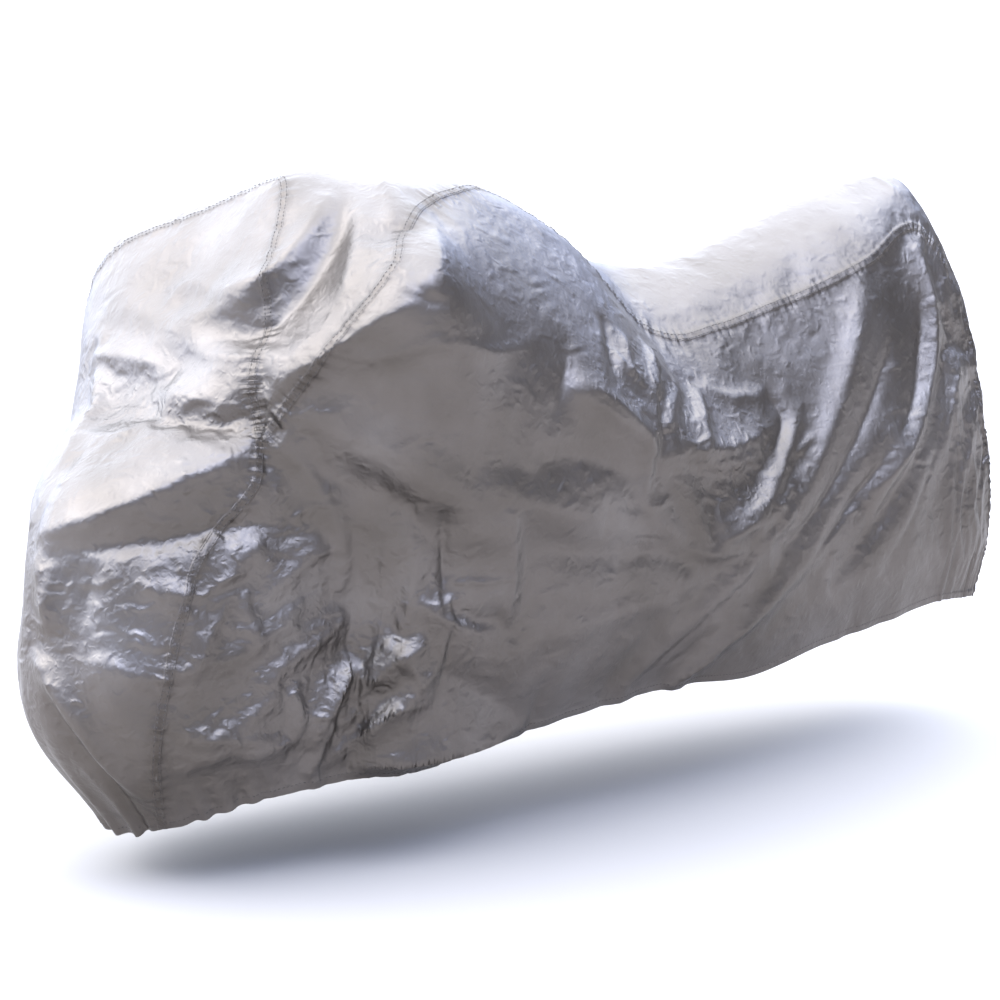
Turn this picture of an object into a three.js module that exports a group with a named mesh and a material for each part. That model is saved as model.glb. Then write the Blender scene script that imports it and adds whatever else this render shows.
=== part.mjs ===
// Silver motorcycle cover, draped as in use and hollow underneath.
// Millimetres, +Z up, front towards -X, the photographed side towards -Y.
// The origin is inside the cover, under its crown, at the point that holds it up.
import * as THREE from "three";

// Driving dimensions. Heights count from the ground while the shape is worked out.
const THICKNESS = 2;
const PANEL_GAP = 0.3;
const FRONT_POLE_X = -450;
const REAR_POLE_X = 800;
const CROWN_HEIGHT = 1135;
const FAN_RADIUS = 300;
const PLAN_REACH = 1000;

// The shell hangs from a spine between the two poles. A section is a plane through the spine,
// turned from straight ahead (0) over square to the side (90) to straight back (180).
// Each section lists its pole, its turn and its crown height, then the nine levels from brow to
// hem, each as distance from the spine and height.
const LEVEL_DOWNS = {
  crown: 0, brow: 0.09, screen: 0.18, shoulder: 0.28, ledge: 0.37,
  waist: 0.47, flank: 0.59, belly: 0.73, skirt: 0.87, hem: 1,
};
const NOSE_SECTION =
  [-450, 0, 1135, 130, 1122, 210, 1045, 310, 900, 355, 815, 420, 750, 580, 635, 632, 450, 620, 260, 490, 78];
const NEAR_FRONT_SECTIONS = [
  [-450, 15, 1135, 130, 1118, 215, 1040, 315, 905, 362, 828, 395, 755, 510, 655, 590, 450, 585, 270, 475, 108],
  [-450, 30, 1135, 130, 1112, 225, 1030, 330, 905, 375, 832, 380, 765, 405, 680, 440, 480, 445, 290, 395, 146],
  [-450, 50, 1135, 140, 1105, 250, 1030, 350, 940, 385, 870, 375, 790, 345, 660, 310, 480, 300, 310, 280, 158],
  [-450, 70, 1135, 150, 1105, 280, 1050, 385, 1000, 422, 940, 410, 840, 375, 680, 335, 500, 310, 330, 270, 163],
];
const FAR_FRONT_SECTIONS = [
  [-450, 20, 1135, 130, 1118, 215, 1050, 315, 920, 375, 830, 420, 750, 500, 650, 535, 450, 530, 270, 450, 110],
  [-450, 40, 1135, 140, 1112, 240, 1060, 360, 970, 430, 860, 450, 760, 440, 670, 430, 480, 420, 300, 370, 140],
  [-450, 60, 1135, 150, 1110, 290, 1060, 420, 1000, 470, 900, 460, 800, 420, 670, 350, 490, 320, 320, 290, 150],
  [-450, 75, 1135, 150, 1112, 280, 1060, 390, 1000, 430, 920, 420, 820, 380, 670, 335, 500, 310, 330, 270, 155],
];
const BODY_SECTIONS = [
  [-450, 90, 1135, 140, 1116, 250, 1056, 330, 978, 370, 900, 385, 800, 375, 660, 345, 500, 320, 330, 260, 175],
  [-250, 90, 1108, 120, 1084, 200, 1024, 275, 945, 330, 860, 360, 760, 370, 630, 355, 480, 330, 330, 260, 195],
  [-70, 90, 1035, 110, 1000, 180, 945, 245, 875, 300, 795, 335, 710, 350, 600, 345, 470, 320, 340, 260, 213],
  [80, 90, 948, 100, 898, 165, 838, 225, 780, 275, 715, 310, 645, 330, 550, 330, 440, 310, 330, 255, 218],
  [250, 90, 935, 100, 898, 162, 838, 208, 768, 248, 692, 283, 610, 310, 510, 310, 410, 295, 310, 250, 208],
  [450, 90, 978, 90, 945, 150, 882, 190, 812, 225, 735, 255, 650, 280, 550, 285, 440, 275, 335, 240, 237],
  [650, 90, 1037, 80, 1005, 135, 948, 170, 880, 200, 800, 225, 710, 250, 600, 260, 480, 255, 365, 220, 255],
  [800, 90, 1062, 60, 1042, 100, 994, 130, 920, 160, 830, 185, 735, 210, 620, 225, 500, 225, 380, 200, 268],
  [800, 120, 1062, 60, 1045, 100, 1000, 135, 925, 165, 835, 190, 735, 215, 615, 230, 490, 230, 370, 205, 262],
  [800, 150, 1062, 62, 1054, 102, 1012, 150, 930, 190, 840, 218, 735, 242, 610, 256, 480, 252, 350, 226, 245],
  [800, 180, 1062, 62, 1058, 105, 1022, 158, 935, 206, 840, 240, 735, 264, 600, 277, 460, 272, 330, 244, 228],
];

// Places on the cloth are [along, down]: along the girth from the nose centre in millimetres,
// positive on the near side and negative on the far side, and down from the spine (0) to the hem (1).
const ARCH = [
  [160, 0.53], [150, 0.45], [144, 0.38], [143, 0.3], [134, 0.24], [118, 0.2], [98, 0.16], [60, 0.12],
  [-20, 0.095], [-120, 0.12], [-210, 0.18], [-265, 0.27], [-290, 0.4], [-270, 0.53],
];
const NEAR_NOSE_SEAM = [
  [160, 0.53], [157, 0.61], [134, 0.65], [120, 0.68], [115, 0.72], [110, 0.77], [103, 0.84], [84, 0.94], [66, 1],
];
const FAR_NOSE_SEAM = [[-270, 0.53], [-250, 0.62], [-212, 0.72], [-172, 0.82], [-130, 0.92], [-100, 1]];
const NEAR_STRIP_SEAM = [
  [160, 0.53], [200, 0.44], [250, 0.36], [292, 0.31], [332, 0.262], [362, 0.19], [420, 0.15], [490, 0.134],
  [571, 0.112], [695, 0.06], [790, 0.045], [890, 0.09], [960, 0.15], [1066, 0.19], [1170, 0.19], [1280, 0.19],
  [1385, 0.2], [1490, 0.212], [1577, 0.22], [1700, 0.21], [1850, 0.25], [1940, 0.33], [1968, 0.38],
  [1965, 0.48], [1950, 0.6], [1975, 0.8], [1990, 1],
];
const FAR_STRIP_SEAM = [
  [-270, 0.53], [-330, 0.5], [-390, 0.44], [-440, 0.37], [-490, 0.31], [-550, 0.26], [-640, 0.22],
  [-760, 0.19], [-900, 0.19], [-1060, 0.2], [-1200, 0.2], [-1400, 0.2], [-1560, 0.21], [-1700, 0.22],
  [-1840, 0.28], [-1900, 0.36], [-1930, 0.5], [-1950, 0.7], [-1985, 1],
];

// Size of the triangles on the plan: steps along the seams, steps inside the panels, the clear
// border that the inside points keep, how far these points stray from even rows, the places that
// lay out a hem, and the reach of the first triangle of a net
const RIM_STEP = 40;
const CLOTH_STEP = 50;
const RIM_CLEARANCE = 28;
const UNEVEN_SHARE = 0.06;
const UNEVEN_TURNS = { x: [5.1, 2.3], y: [3.7, 4.9] };
const HEM_PLACES = 60;
const NET_REACH = 20;

// A fold is a soft ridge (height above 0) or trough (below 0) along a bow through three places.
// above and below are its widths on the left and on the right of the way it runs, and crisp
// sharpens its crest as it nears 1.
const FOLD_COLUMNS = ["from", "middle", "to", "height", "above", "below", "crisp"];
const NEAR_FOLDS = {
  noseLedge: [[170, 0.4], [270, 0.36], [360, 0.35], 18, 60, 25, 1.5],
  barEdge: [[360, 0.35], [380, 0.28], [420, 0.19], 12, 50, 30, 1.3],
  screenRidge: [[355, 0.17], [380, 0.12], [410, 0.06], 14, 20, 30, 1.4],
  screenBank: [[0, 0.25], [150, 0.22], [220, 0.09], 18, 60, 24, 1.6],
  screenFold: [[260, 0.28], [280, 0.2], [310, 0.08], 10, 22, 30, 1.6],
  noseCrease: [[-60, 0.28], [50, 0.27], [130, 0.25], 8, 22, 16, 1.3],
  fenderLedge: [[-10, 0.64], [65, 0.61], [160, 0.55], 28, 90, 32, 1.4],
  fenderTrough: [[20, 0.65], [90, 0.65], [190, 0.66], -12, 22, 32, 1.5],
  noseCorner: [[25, 0.75], [12, 0.69], [0, 0.65], 12, 22, 30, 1.3],
  toeFoldHigh: [[70, 0.97], [50, 0.86], [10, 0.77], 12, 22, 22, 1.5],
  toeTrough: [[50, 0.97], [35, 0.88], [15, 0.82], -10, 22, 22, 1.5],
  wheelFold: [[110, 0.88], [140, 0.885], [190, 0.92], 12, 20, 32, 1.3],
  lumpFirst: [[230, 0.93], [240, 0.87], [280, 0.83], 14, 22, 22, 1.4],
  lumpSecond: [[270, 0.89], [330, 0.85], [390, 0.82], 14, 20, 24, 1.4],
  lumpThird: [[290, 0.95], [350, 0.9], [415, 0.86], 12, 20, 24, 1.4],
  skirtTrough: [[400, 0.86], [500, 0.91], [640, 0.98], -12, 40, 30, 1.6],
  patchEdge: [[520, 0.81], [525, 0.72], [500, 0.63], 15, 70, 24, 1.5],
  patchFoot: [[370, 0.76], [430, 0.8], [510, 0.8], 10, 20, 30, 1.2],
  patchTrough: [[410, 0.77], [412, 0.69], [390, 0.63], -8, 24, 30, 1.6],
  bellyBand: [[160, 0.43], [340, 0.58], [520, 0.69], 14, 50, 50, 2],
  lens: [[440, 0.6], [570, 0.63], [730, 0.65], 12, 32, 35, 1.8],
  lensBrow: [[550, 0.57], [680, 0.56], [820, 0.59], -8, 28, 28, 1.8],
  lensFoot: [[500, 0.69], [720, 0.71], [970, 0.72], -8, 32, 32, 1.8],
  tankEdge: [[630, 0.45], [740, 0.49], [855, 0.54], 20, 70, 26, 1.4],
  seatApron: [[855, 0.54], [1050, 0.46], [1230, 0.41], 12, 50, 22, 1.5],
  lowApron: [[1010, 0.67], [1140, 0.6], [1250, 0.52], 10, 32, 22, 1.5],
  sweepOneTop: [[1170, 0.63], [1400, 0.44], [1555, 0.23], 14, 32, 40, 1.8],
  sweepOneFoot: [[810, 0.99], [990, 0.86], [1170, 0.63], 12, 32, 32, 1.8],
  sweepTwoTop: [[1435, 0.67], [1670, 0.52], [1725, 0.23], 24, 45, 32, 1.6],
  sweepTwoFoot: [[960, 1], [1160, 0.82], [1435, 0.67], 20, 32, 26, 1.5],
  sweepThree: [[1520, 0.84], [1700, 0.63], [1850, 0.46], 14, 26, 32, 1.7],
  sweepHollow: [[1330, 0.83], [1550, 0.68], [1720, 0.47], -10, 26, 30, 1.8],
};
const FAR_FOLDS = {
  farLedge: [[-180, 0.4], [-90, 0.37], [0, 0.37], 16, 50, 26, 1.5],
  pocket: [[-30, 0.56], [-90, 0.5], [-150, 0.41], 18, 32, 30, 1.5],
  farBarEdge: [[-360, 0.19], [-330, 0.28], [-310, 0.37], 12, 45, 35, 1.5],
  farFender: [[-300, 0.5], [-160, 0.56], [-20, 0.63], 20, 70, 34, 1.5],
  farBelly: [[-820, 0.66], [-600, 0.62], [-380, 0.46], 14, 50, 50, 2],
  farTankEdge: [[-880, 0.52], [-760, 0.47], [-640, 0.43], 16, 55, 28, 1.5],
  farSweepOne: [[-1560, 0.24], [-1380, 0.46], [-1120, 0.72], 15, 36, 36, 1.8],
  farSweepTwo: [[-1720, 0.26], [-1560, 0.56], [-1280, 0.86], 20, 38, 34, 1.6],
  farSweepThree: [[-1830, 0.46], [-1700, 0.66], [-1510, 0.86], 12, 30, 30, 1.7],
  farLump: [[-420, 0.84], [-330, 0.87], [-240, 0.93], 14, 28, 28, 1.5],
  farSkirt: [[-760, 0.95], [-600, 0.86], [-470, 0.82], 12, 36, 30, 1.6],
};
// Straight pieces of a fold's bow, and the widths from its crest that it reaches
const FOLD_STEPS = 12;
const FOLD_REACH = 2.6;
// Step on the plan for finding the outward direction, and the sharpest corner at a panel's rim
const OUTWARD_STEP = 3;
const SHARPEST_CORNER = 0.3;

const NEAR_CLOTH = { color: 0x7d7975, roughness: 0.38, metalness: 0.55 };
const FAR_CLOTH = { color: 0x84807c, roughness: 0.38, metalness: 0.55 };
const TOP_CLOTH = { color: 0xb9bac0, roughness: 0.34, metalness: 0.55 };
const NOSE_CLOTH = { color: 0x9a989a, roughness: 0.36, metalness: 0.55 };

// How far along the girth a section lies from the nose centre
function sectionPlace(poleX, turn) {
  const radians = THREE.MathUtils.degToRad(turn);
  const pastFront = Math.max(radians - Math.PI / 2, 0);
  return FAN_RADIUS * Math.min(radians, Math.PI / 2) + poleX - FRONT_POLE_X + FAN_RADIUS * pastFront;
}
const HALF_GIRTH = sectionPlace(REAR_POLE_X, 180);
const QUARTER_FAN = (FAN_RADIUS * Math.PI) / 2;

// Smooth curve through rows of numbers at uneven places
function curveSlopes(places, rows) {
  const last = places.length - 1;
  const rise = (i) => rows[i + 1].map((value, c) => (value - rows[i][c]) / (places[i + 1] - places[i]));
  return rows.map((row, i) => {
    if (i === 0) return rise(0);
    if (i === last) return rise(last - 1);
    const before = places[i] - places[i - 1];
    const after = places[i + 1] - places[i];
    const left = rise(i - 1);
    const right = rise(i);
    return row.map((_, c) => (left[c] * after + right[c] * before) / (before + after));
  });
}
function curveAt(places, rows, slopes, at) {
  let i = 0;
  while (i < places.length - 2 && at >= places[i + 1]) i += 1;
  const span = places[i + 1] - places[i];
  const t = (at - places[i]) / span;
  const startWeight = 2 * t ** 3 - 3 * t ** 2 + 1;
  const startSlope = (t ** 3 - 2 * t ** 2 + t) * span;
  const endSlope = (t ** 3 - t ** 2) * span;
  return rows[i].map((value, c) => value * startWeight + slopes[i][c] * startSlope
    + rows[i + 1][c] * (1 - startWeight) + slopes[i + 1][c] * endSlope);
}

function halfShell(sections) {
  const rows = sections.map(([, , crown, ...levels]) => [crown, ...levels]);
  const places = sections.map(([poleX, turn]) => sectionPlace(poleX, turn));
  const slopes = curveSlopes(places, rows);
  slopes[0] = rows[0].map(() => 0);
  slopes[rows.length - 1] = rows[0].map(() => 0);
  return { rows, places, slopes };
}
const NEAR_SHELL = halfShell([NOSE_SECTION, ...NEAR_FRONT_SECTIONS, ...BODY_SECTIONS]);
const FAR_SHELL = halfShell([NOSE_SECTION, ...FAR_FRONT_SECTIONS, ...BODY_SECTIONS]);

// Smooth shell under the folds
function shellPoint(along, down) {
  const shell = along >= 0 ? NEAR_SHELL : FAR_SHELL;
  const place = Math.min(Math.abs(along), HALF_GIRTH);
  const [crown, ...levels] = curveAt(shell.places, shell.rows, shell.slopes, place);
  const profile = [[0, crown]];
  for (let c = 0; c < levels.length; c += 2) profile.push([levels[c], levels[c + 1]]);
  const downs = Object.values(LEVEL_DOWNS);
  const slopes = curveSlopes(downs, profile);
  slopes[0][1] = 0;
  const [reach, height] = curveAt(downs, profile, slopes, down);
  const [poleX, turn] = poleAndTurn(place);
  const side = along >= 0 ? -1 : 1;
  return new THREE.Vector3(poleX - reach * Math.cos(turn), side * reach * Math.sin(turn), height);
}
function poleAndTurn(place) {
  const spine = THREE.MathUtils.clamp(place - QUARTER_FAN, 0, REAR_POLE_X - FRONT_POLE_X);
  const fan = place < QUARTER_FAN ? place : place - spine;
  return [FRONT_POLE_X + spine, fan / FAN_RADIUS];
}

// The plan lays the whole cover out flat around its spine, so that seams may cross the spine
function toPlan([along, down]) {
  const [poleX, turn] = poleAndTurn(Math.abs(along));
  const side = along >= 0 ? -1 : 1;
  const reach = down * PLAN_REACH;
  return [poleX - reach * Math.cos(turn), side * reach * Math.sin(turn)];
}
function fromPlan([x, y]) {
  const spine = THREE.MathUtils.clamp(x, FRONT_POLE_X, REAR_POLE_X);
  const reach = Math.hypot(x - spine, y);
  const turn = reach > 0 ? Math.atan2(Math.abs(y), spine - x) : Math.PI / 2;
  const place = FAN_RADIUS * turn + spine - FRONT_POLE_X;
  return [y > 0 ? -place : place, reach / PLAN_REACH];
}

function foldLine([from, middle, to]) {
  const line = [];
  for (let i = 0; i <= FOLD_STEPS; i += 1) {
    const t = i / FOLD_STEPS;
    const bow = 4 * t * (1 - t);
    const [along, down] = [0, 1].map((c) => from[c] * (1 - t) + to[c] * t
      + (middle[c] - (from[c] + to[c]) / 2) * bow);
    line.push(shellPoint(along, Math.min(down, 1)));
  }
  return line;
}
const FOLDS = [...Object.values(NEAR_FOLDS), ...Object.values(FAR_FOLDS)].map((row) => {
  const fold = Object.fromEntries(FOLD_COLUMNS.map((column, c) => [column, row[c]]));
  fold.line = foldLine([fold.from, fold.middle, fold.to]);
  fold.box = new THREE.Box3().setFromPoints(fold.line);
  fold.box.expandByScalar(FOLD_REACH * Math.max(fold.above, fold.below));
  return fold;
});

// How far one fold lifts the cloth at a place on the shell
function foldLift(fold, place, outward) {
  if (!fold.box.containsPoint(place)) return 0;
  let nearest = { distance: Infinity };
  const step = new THREE.Vector3();
  const offset = new THREE.Vector3();
  for (let i = 0; i < FOLD_STEPS; i += 1) {
    step.subVectors(fold.line[i + 1], fold.line[i]);
    offset.subVectors(place, fold.line[i]);
    const t = THREE.MathUtils.clamp(offset.dot(step) / step.lengthSq(), 0, 1);
    offset.addScaledVector(step, -t);
    const distance = offset.length();
    if (distance < nearest.distance) {
      const left = new THREE.Vector3().crossVectors(outward, step).dot(offset);
      nearest = { distance, run: (i + t) / FOLD_STEPS, left };
    }
  }
  const width = nearest.left > 0 ? fold.above : fold.below;
  const taper = 1 - Math.abs(2 * nearest.run - 1) ** 3;
  return fold.height * taper * Math.exp(-((nearest.distance / width) ** fold.crisp));
}

// Outward direction of a surface at a place on the plan, from its neighbours on the plan
function outwardAt(surface, plan) {
  const [x, y] = plan;
  const alongX = surface([x + OUTWARD_STEP, y]).sub(surface([x - OUTWARD_STEP, y]));
  const alongY = surface([x, y + OUTWARD_STEP]).sub(surface([x, y - OUTWARD_STEP]));
  return alongX.cross(alongY).normalize();
}
function insidePlan([x, y]) {
  const spine = THREE.MathUtils.clamp(x, FRONT_POLE_X, REAR_POLE_X);
  const reach = Math.hypot(x - spine, y);
  const scale = reach > PLAN_REACH ? PLAN_REACH / reach : 1;
  return [spine + (x - spine) * scale, y * scale];
}
const bareSurface = (plan) => shellPoint(...fromPlan(insidePlan(plan)));
function clothSurface(plan) {
  const place = bareSurface(plan);
  const outward = outwardAt(bareSurface, plan);
  const lift = FOLDS.reduce((sum, fold) => sum + foldLift(fold, place, outward), 0);
  return place.addScaledVector(outward, lift);
}

// A seam is a smooth curve through its places, cut into equal steps on the plan.
// The panels on both sides of it share these steps.
function seamLine(places) {
  const rows = places.map(toPlan);
  const runs = [0];
  for (let i = 1; i < rows.length; i += 1) {
    runs.push(runs[i - 1] + Math.hypot(rows[i][0] - rows[i - 1][0], rows[i][1] - rows[i - 1][1]));
  }
  const total = runs[runs.length - 1];
  const slopes = curveSlopes(runs, rows);
  const steps = Math.round(total / RIM_STEP);
  return Array.from({ length: steps + 1 }, (_, i) => curveAt(runs, rows, slopes, (total * i) / steps));
}
const hemPlaces = (from, to) => Array.from({ length: HEM_PLACES + 1 },
  (_, i) => [from + ((to - from) * i) / HEM_PLACES, 1]);

// Closed outline of a panel from its seams and hems, end to end
function outlineOf(...lines) {
  return lines.flatMap((line) => line.slice(0, -1));
}
const reversed = (line) => [...line].reverse();

function insideOutline(outline, [x, y]) {
  let inside = false;
  outline.forEach(([fromX, fromY], i) => {
    const [toX, toY] = outline[(i + 1) % outline.length];
    if (fromY > y !== toY > y && x < ((toX - fromX) * (y - fromY)) / (toY - fromY) + fromX) inside = !inside;
  });
  return inside;
}
function outlineDistance(outline, [x, y]) {
  let nearest = Infinity;
  outline.forEach(([fromX, fromY], i) => {
    const [toX, toY] = outline[(i + 1) % outline.length];
    const [stepX, stepY] = [toX - fromX, toY - fromY];
    const share = ((x - fromX) * stepX + (y - fromY) * stepY) / (stepX ** 2 + stepY ** 2);
    const t = THREE.MathUtils.clamp(share, 0, 1);
    nearest = Math.min(nearest, Math.hypot(x - fromX - t * stepX, y - fromY - t * stepY));
  });
  return nearest;
}

// Points inside a panel, staggered row by row and a little uneven
function fillPoints(outline) {
  const points = [];
  const rowStep = (CLOTH_STEP * Math.sqrt(3)) / 2;
  const reachX = FRONT_POLE_X - PLAN_REACH;
  const rows = Math.ceil((2 * PLAN_REACH) / rowStep);
  const columns = Math.ceil((REAR_POLE_X - FRONT_POLE_X + 2 * PLAN_REACH) / CLOTH_STEP);
  for (let row = 0; row <= rows; row += 1) {
    for (let column = 0; column <= columns; column += 1) {
      const strayOf = ([rowTurn, columnTurn]) => UNEVEN_SHARE * Math.sin(row * rowTurn + column * columnTurn);
      const x = reachX + (column + (row % 2) / 2 + strayOf(UNEVEN_TURNS.x)) * CLOTH_STEP;
      const y = -PLAN_REACH + row * rowStep + strayOf(UNEVEN_TURNS.y) * CLOTH_STEP;
      const clear = insideOutline(outline, [x, y]) && outlineDistance(outline, [x, y]) > RIM_CLEARANCE;
      if (clear) points.push([x, y]);
    }
  }
  return points;
}

// Joins points into the triangles whose round circles hold no other point
function triangleNet(points) {
  const far = NET_REACH * PLAN_REACH;
  const all = [...points, [-far, -far], [far, -far], [0, far]];
  const circleOf = (ids) => {
    const [[ax, ay], [bx, by], [cx, cy]] = ids.map((id) => all[id]);
    const twice = 2 * (ax * (by - cy) + bx * (cy - ay) + cx * (ay - by));
    const [a2, b2, c2] = [ax ** 2 + ay ** 2, bx ** 2 + by ** 2, cx ** 2 + cy ** 2];
    const x = (a2 * (by - cy) + b2 * (cy - ay) + c2 * (ay - by)) / twice;
    const y = (a2 * (cx - bx) + b2 * (ax - cx) + c2 * (bx - ax)) / twice;
    return { ids, x, y, square: (ax - x) ** 2 + (ay - y) ** 2 };
  };
  let net = [circleOf([points.length, points.length + 1, points.length + 2])];
  points.forEach(([x, y], id) => {
    const holds = ({ x: cx, y: cy, square }) => (x - cx) ** 2 + (y - cy) ** 2 < square;
    const edges = new Map();
    for (const { ids } of net.filter(holds)) {
      ids.forEach((from, i) => {
        const to = ids[(i + 1) % 3];
        if (edges.has(`${to},${from}`)) edges.delete(`${to},${from}`);
        else edges.set(`${from},${to}`, [from, to]);
      });
    }
    net = net.filter((triangle) => !holds(triangle));
    for (const [from, to] of edges.values()) net.push(circleOf([from, to, id]));
  });
  return net.map(({ ids }) => ids).filter((ids) => ids.every((id) => id < points.length));
}

// A panel is its outline, the points inside it and the triangles between them, all clockwise
function panelGeometry(drawnOutline) {
  const clockwise = THREE.ShapeUtils.isClockWise(drawnOutline.map(([x, y]) => new THREE.Vector2(x, y)));
  const outline = clockwise ? drawnOutline : reversed(drawnOutline);
  const plan = [...outline, ...fillPoints(outline)];
  const middle = (ids) => [0, 1].map((c) => (plan[ids[0]][c] + plan[ids[1]][c] + plan[ids[2]][c]) / 3);
  const faces = triangleNet(plan).filter((ids) => insideOutline(outline, middle(ids)));
  return sheetGeometry(plan, faces, outline.map((_, i) => i));
}

// Gives the panel its place, its thickness and its half of the gap to the next panel
function sheetGeometry(plan, faces, rim) {
  const outside = plan.map(clothSurface);
  const outward = plan.map((place) => outwardAt(clothSurface, place));
  const shifted = rim.map((id, i) => {
    const before = rim[(i + rim.length - 1) % rim.length];
    const after = rim[(i + 1) % rim.length];
    return rimShift(outside[before], outside[id], outside[after], outward[id]);
  });
  rim.forEach((id, i) => outside[id].add(shifted[i]));
  const inside = outside.map((point, i) => point.clone().addScaledVector(outward[i], -THICKNESS));

  const count = plan.length;
  const triangles = [];
  for (const [a, b, c] of faces) {
    triangles.push(a, b, c, a + count, c + count, b + count);
  }
  // Neighbouring panels split their facing edges along the same diagonals
  rim.forEach((id, i) => {
    const next = rim[(i + 1) % rim.length];
    if (plan[id][0] < plan[next][0]) triangles.push(id, next, next + count, id, next + count, id + count);
    else triangles.push(id, next, id + count, next, next + count, id + count);
  });
  const drop = new THREE.Vector3(FRONT_POLE_X, 0, CROWN_HEIGHT - THICKNESS);
  const points = [...outside, ...inside].map((point) => point.sub(drop));
  const geometry = new THREE.BufferGeometry().setFromPoints(points);
  geometry.setIndex(triangles);
  geometry.computeVertexNormals();
  return geometry;
}
function rimShift(before, here, after, outward) {
  const inwardOf = (from, to) => new THREE.Vector3().subVectors(to, from).cross(outward).normalize();
  const first = inwardOf(before, here);
  const second = inwardOf(here, after);
  const miter = Math.max(1 + first.dot(second), SHARPEST_CORNER);
  return first.add(second).multiplyScalar(PANEL_GAP / 2 / miter);
}

function panelMesh(name, geometry, { color, roughness, metalness }) {
  const material = new THREE.MeshStandardMaterial({ color, roughness, metalness });
  const mesh = new THREE.Mesh(geometry, material);
  mesh.name = name;
  return mesh;
}

const arch = seamLine(ARCH);
const nearNose = seamLine(NEAR_NOSE_SEAM);
const farNose = seamLine(FAR_NOSE_SEAM);
const nearStrip = seamLine(NEAR_STRIP_SEAM);
const farStrip = seamLine(FAR_STRIP_SEAM);
const endOf = (places) => places[places.length - 1][0];
const [nearToe, farToe] = [endOf(NEAR_NOSE_SEAM), endOf(FAR_NOSE_SEAM)];
const [nearHeel, farHeel] = [endOf(NEAR_STRIP_SEAM), endOf(FAR_STRIP_SEAM)];
const noseHem = seamLine(hemPlaces(nearToe, farToe));
const nearHem = seamLine(hemPlaces(nearToe, nearHeel));
const farHem = seamLine(hemPlaces(farToe, farHeel));
const rearHem = seamLine([...hemPlaces(nearHeel, HALF_GIRTH).slice(0, -1), ...hemPlaces(-HALF_GIRTH, farHeel)]);

const OUTLINES = {
  nose_panel: outlineOf(nearNose, noseHem, reversed(farNose), reversed(arch)),
  near_side_panel: outlineOf(nearStrip, reversed(nearHem), reversed(nearNose)),
  far_side_panel: outlineOf(farStrip, reversed(farHem), reversed(farNose)),
  centre_strip: outlineOf(arch, farStrip, reversed(rearHem), reversed(nearStrip)),
};
const CLOTHS = {
  nose_panel: NOSE_CLOTH,
  near_side_panel: NEAR_CLOTH,
  far_side_panel: FAR_CLOTH,
  centre_strip: TOP_CLOTH,
};

const cover = new THREE.Group();
for (const [name, outline] of Object.entries(OUTLINES)) {
  cover.add(panelMesh(name, panelGeometry(outline), CLOTHS[name]));
}

export default cover;
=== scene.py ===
# A silver motorcycle cover as it hangs in use: cloth, folds, creases, seams, stitches and hems,
# with a plain floor, soft light and the camera. Metres, +Z up, front towards -X.
import bpy
import math
import numpy as np
from mathutils import Matrix, Vector, bvhtree, geometry, kdtree


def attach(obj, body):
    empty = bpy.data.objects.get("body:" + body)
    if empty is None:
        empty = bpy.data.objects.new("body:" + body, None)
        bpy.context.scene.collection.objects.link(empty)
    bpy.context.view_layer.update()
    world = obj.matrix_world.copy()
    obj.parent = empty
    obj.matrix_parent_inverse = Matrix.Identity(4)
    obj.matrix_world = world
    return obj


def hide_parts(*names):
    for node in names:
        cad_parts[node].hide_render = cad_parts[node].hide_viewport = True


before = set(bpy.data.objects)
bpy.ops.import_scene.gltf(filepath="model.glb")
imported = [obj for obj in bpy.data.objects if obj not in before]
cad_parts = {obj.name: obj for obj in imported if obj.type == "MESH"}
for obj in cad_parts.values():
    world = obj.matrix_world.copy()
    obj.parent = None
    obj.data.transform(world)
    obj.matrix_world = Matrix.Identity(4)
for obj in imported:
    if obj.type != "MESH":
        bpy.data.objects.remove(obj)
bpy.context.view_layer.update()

# The shell of the solids, again in millimetres over the ground: poles, crown and sections. A section is
# its pole's x, its turn in degrees and the crown's height, then reach and height at nine levels down.
MM = 0.001
FRONT_POLE_X = -450
REAR_POLE_X = 800
FAN_RADIUS = 300
PLAN_REACH = 1000
ORIGIN = np.array([-450, 0, 1133])
LEVEL_DOWNS = np.array([0, 0.09, 0.18, 0.28, 0.37, 0.47, 0.59, 0.73, 0.87, 1])
NOSE_SECTION = [
    -450, 0, 1135, 130, 1122, 210, 1045, 310, 900, 355, 815,
    420, 750, 580, 635, 632, 450, 620, 260, 490, 78]
NEAR_FRONT_SECTIONS = [
    [-450, 15, 1135, 130, 1118, 215, 1040, 315, 905, 362, 828,
     395, 755, 510, 655, 590, 450, 585, 270, 475, 108],
    [-450, 30, 1135, 130, 1112, 225, 1030, 330, 905, 375, 832,
     380, 765, 405, 680, 440, 480, 445, 290, 395, 146],
    [-450, 50, 1135, 140, 1105, 250, 1030, 350, 940, 385, 870,
     375, 790, 345, 660, 310, 480, 300, 310, 280, 158],
    [-450, 70, 1135, 150, 1105, 280, 1050, 385, 1000, 422, 940,
     410, 840, 375, 680, 335, 500, 310, 330, 270, 163],
]
FAR_FRONT_SECTIONS = [
    [-450, 20, 1135, 130, 1118, 215, 1050, 315, 920, 375, 830,
     420, 750, 500, 650, 535, 450, 530, 270, 450, 110],
    [-450, 40, 1135, 140, 1112, 240, 1060, 360, 970, 430, 860,
     450, 760, 440, 670, 430, 480, 420, 300, 370, 140],
    [-450, 60, 1135, 150, 1110, 290, 1060, 420, 1000, 470, 900,
     460, 800, 420, 670, 350, 490, 320, 320, 290, 150],
    [-450, 75, 1135, 150, 1112, 280, 1060, 390, 1000, 430, 920,
     420, 820, 380, 670, 335, 500, 310, 330, 270, 155],
]
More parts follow.
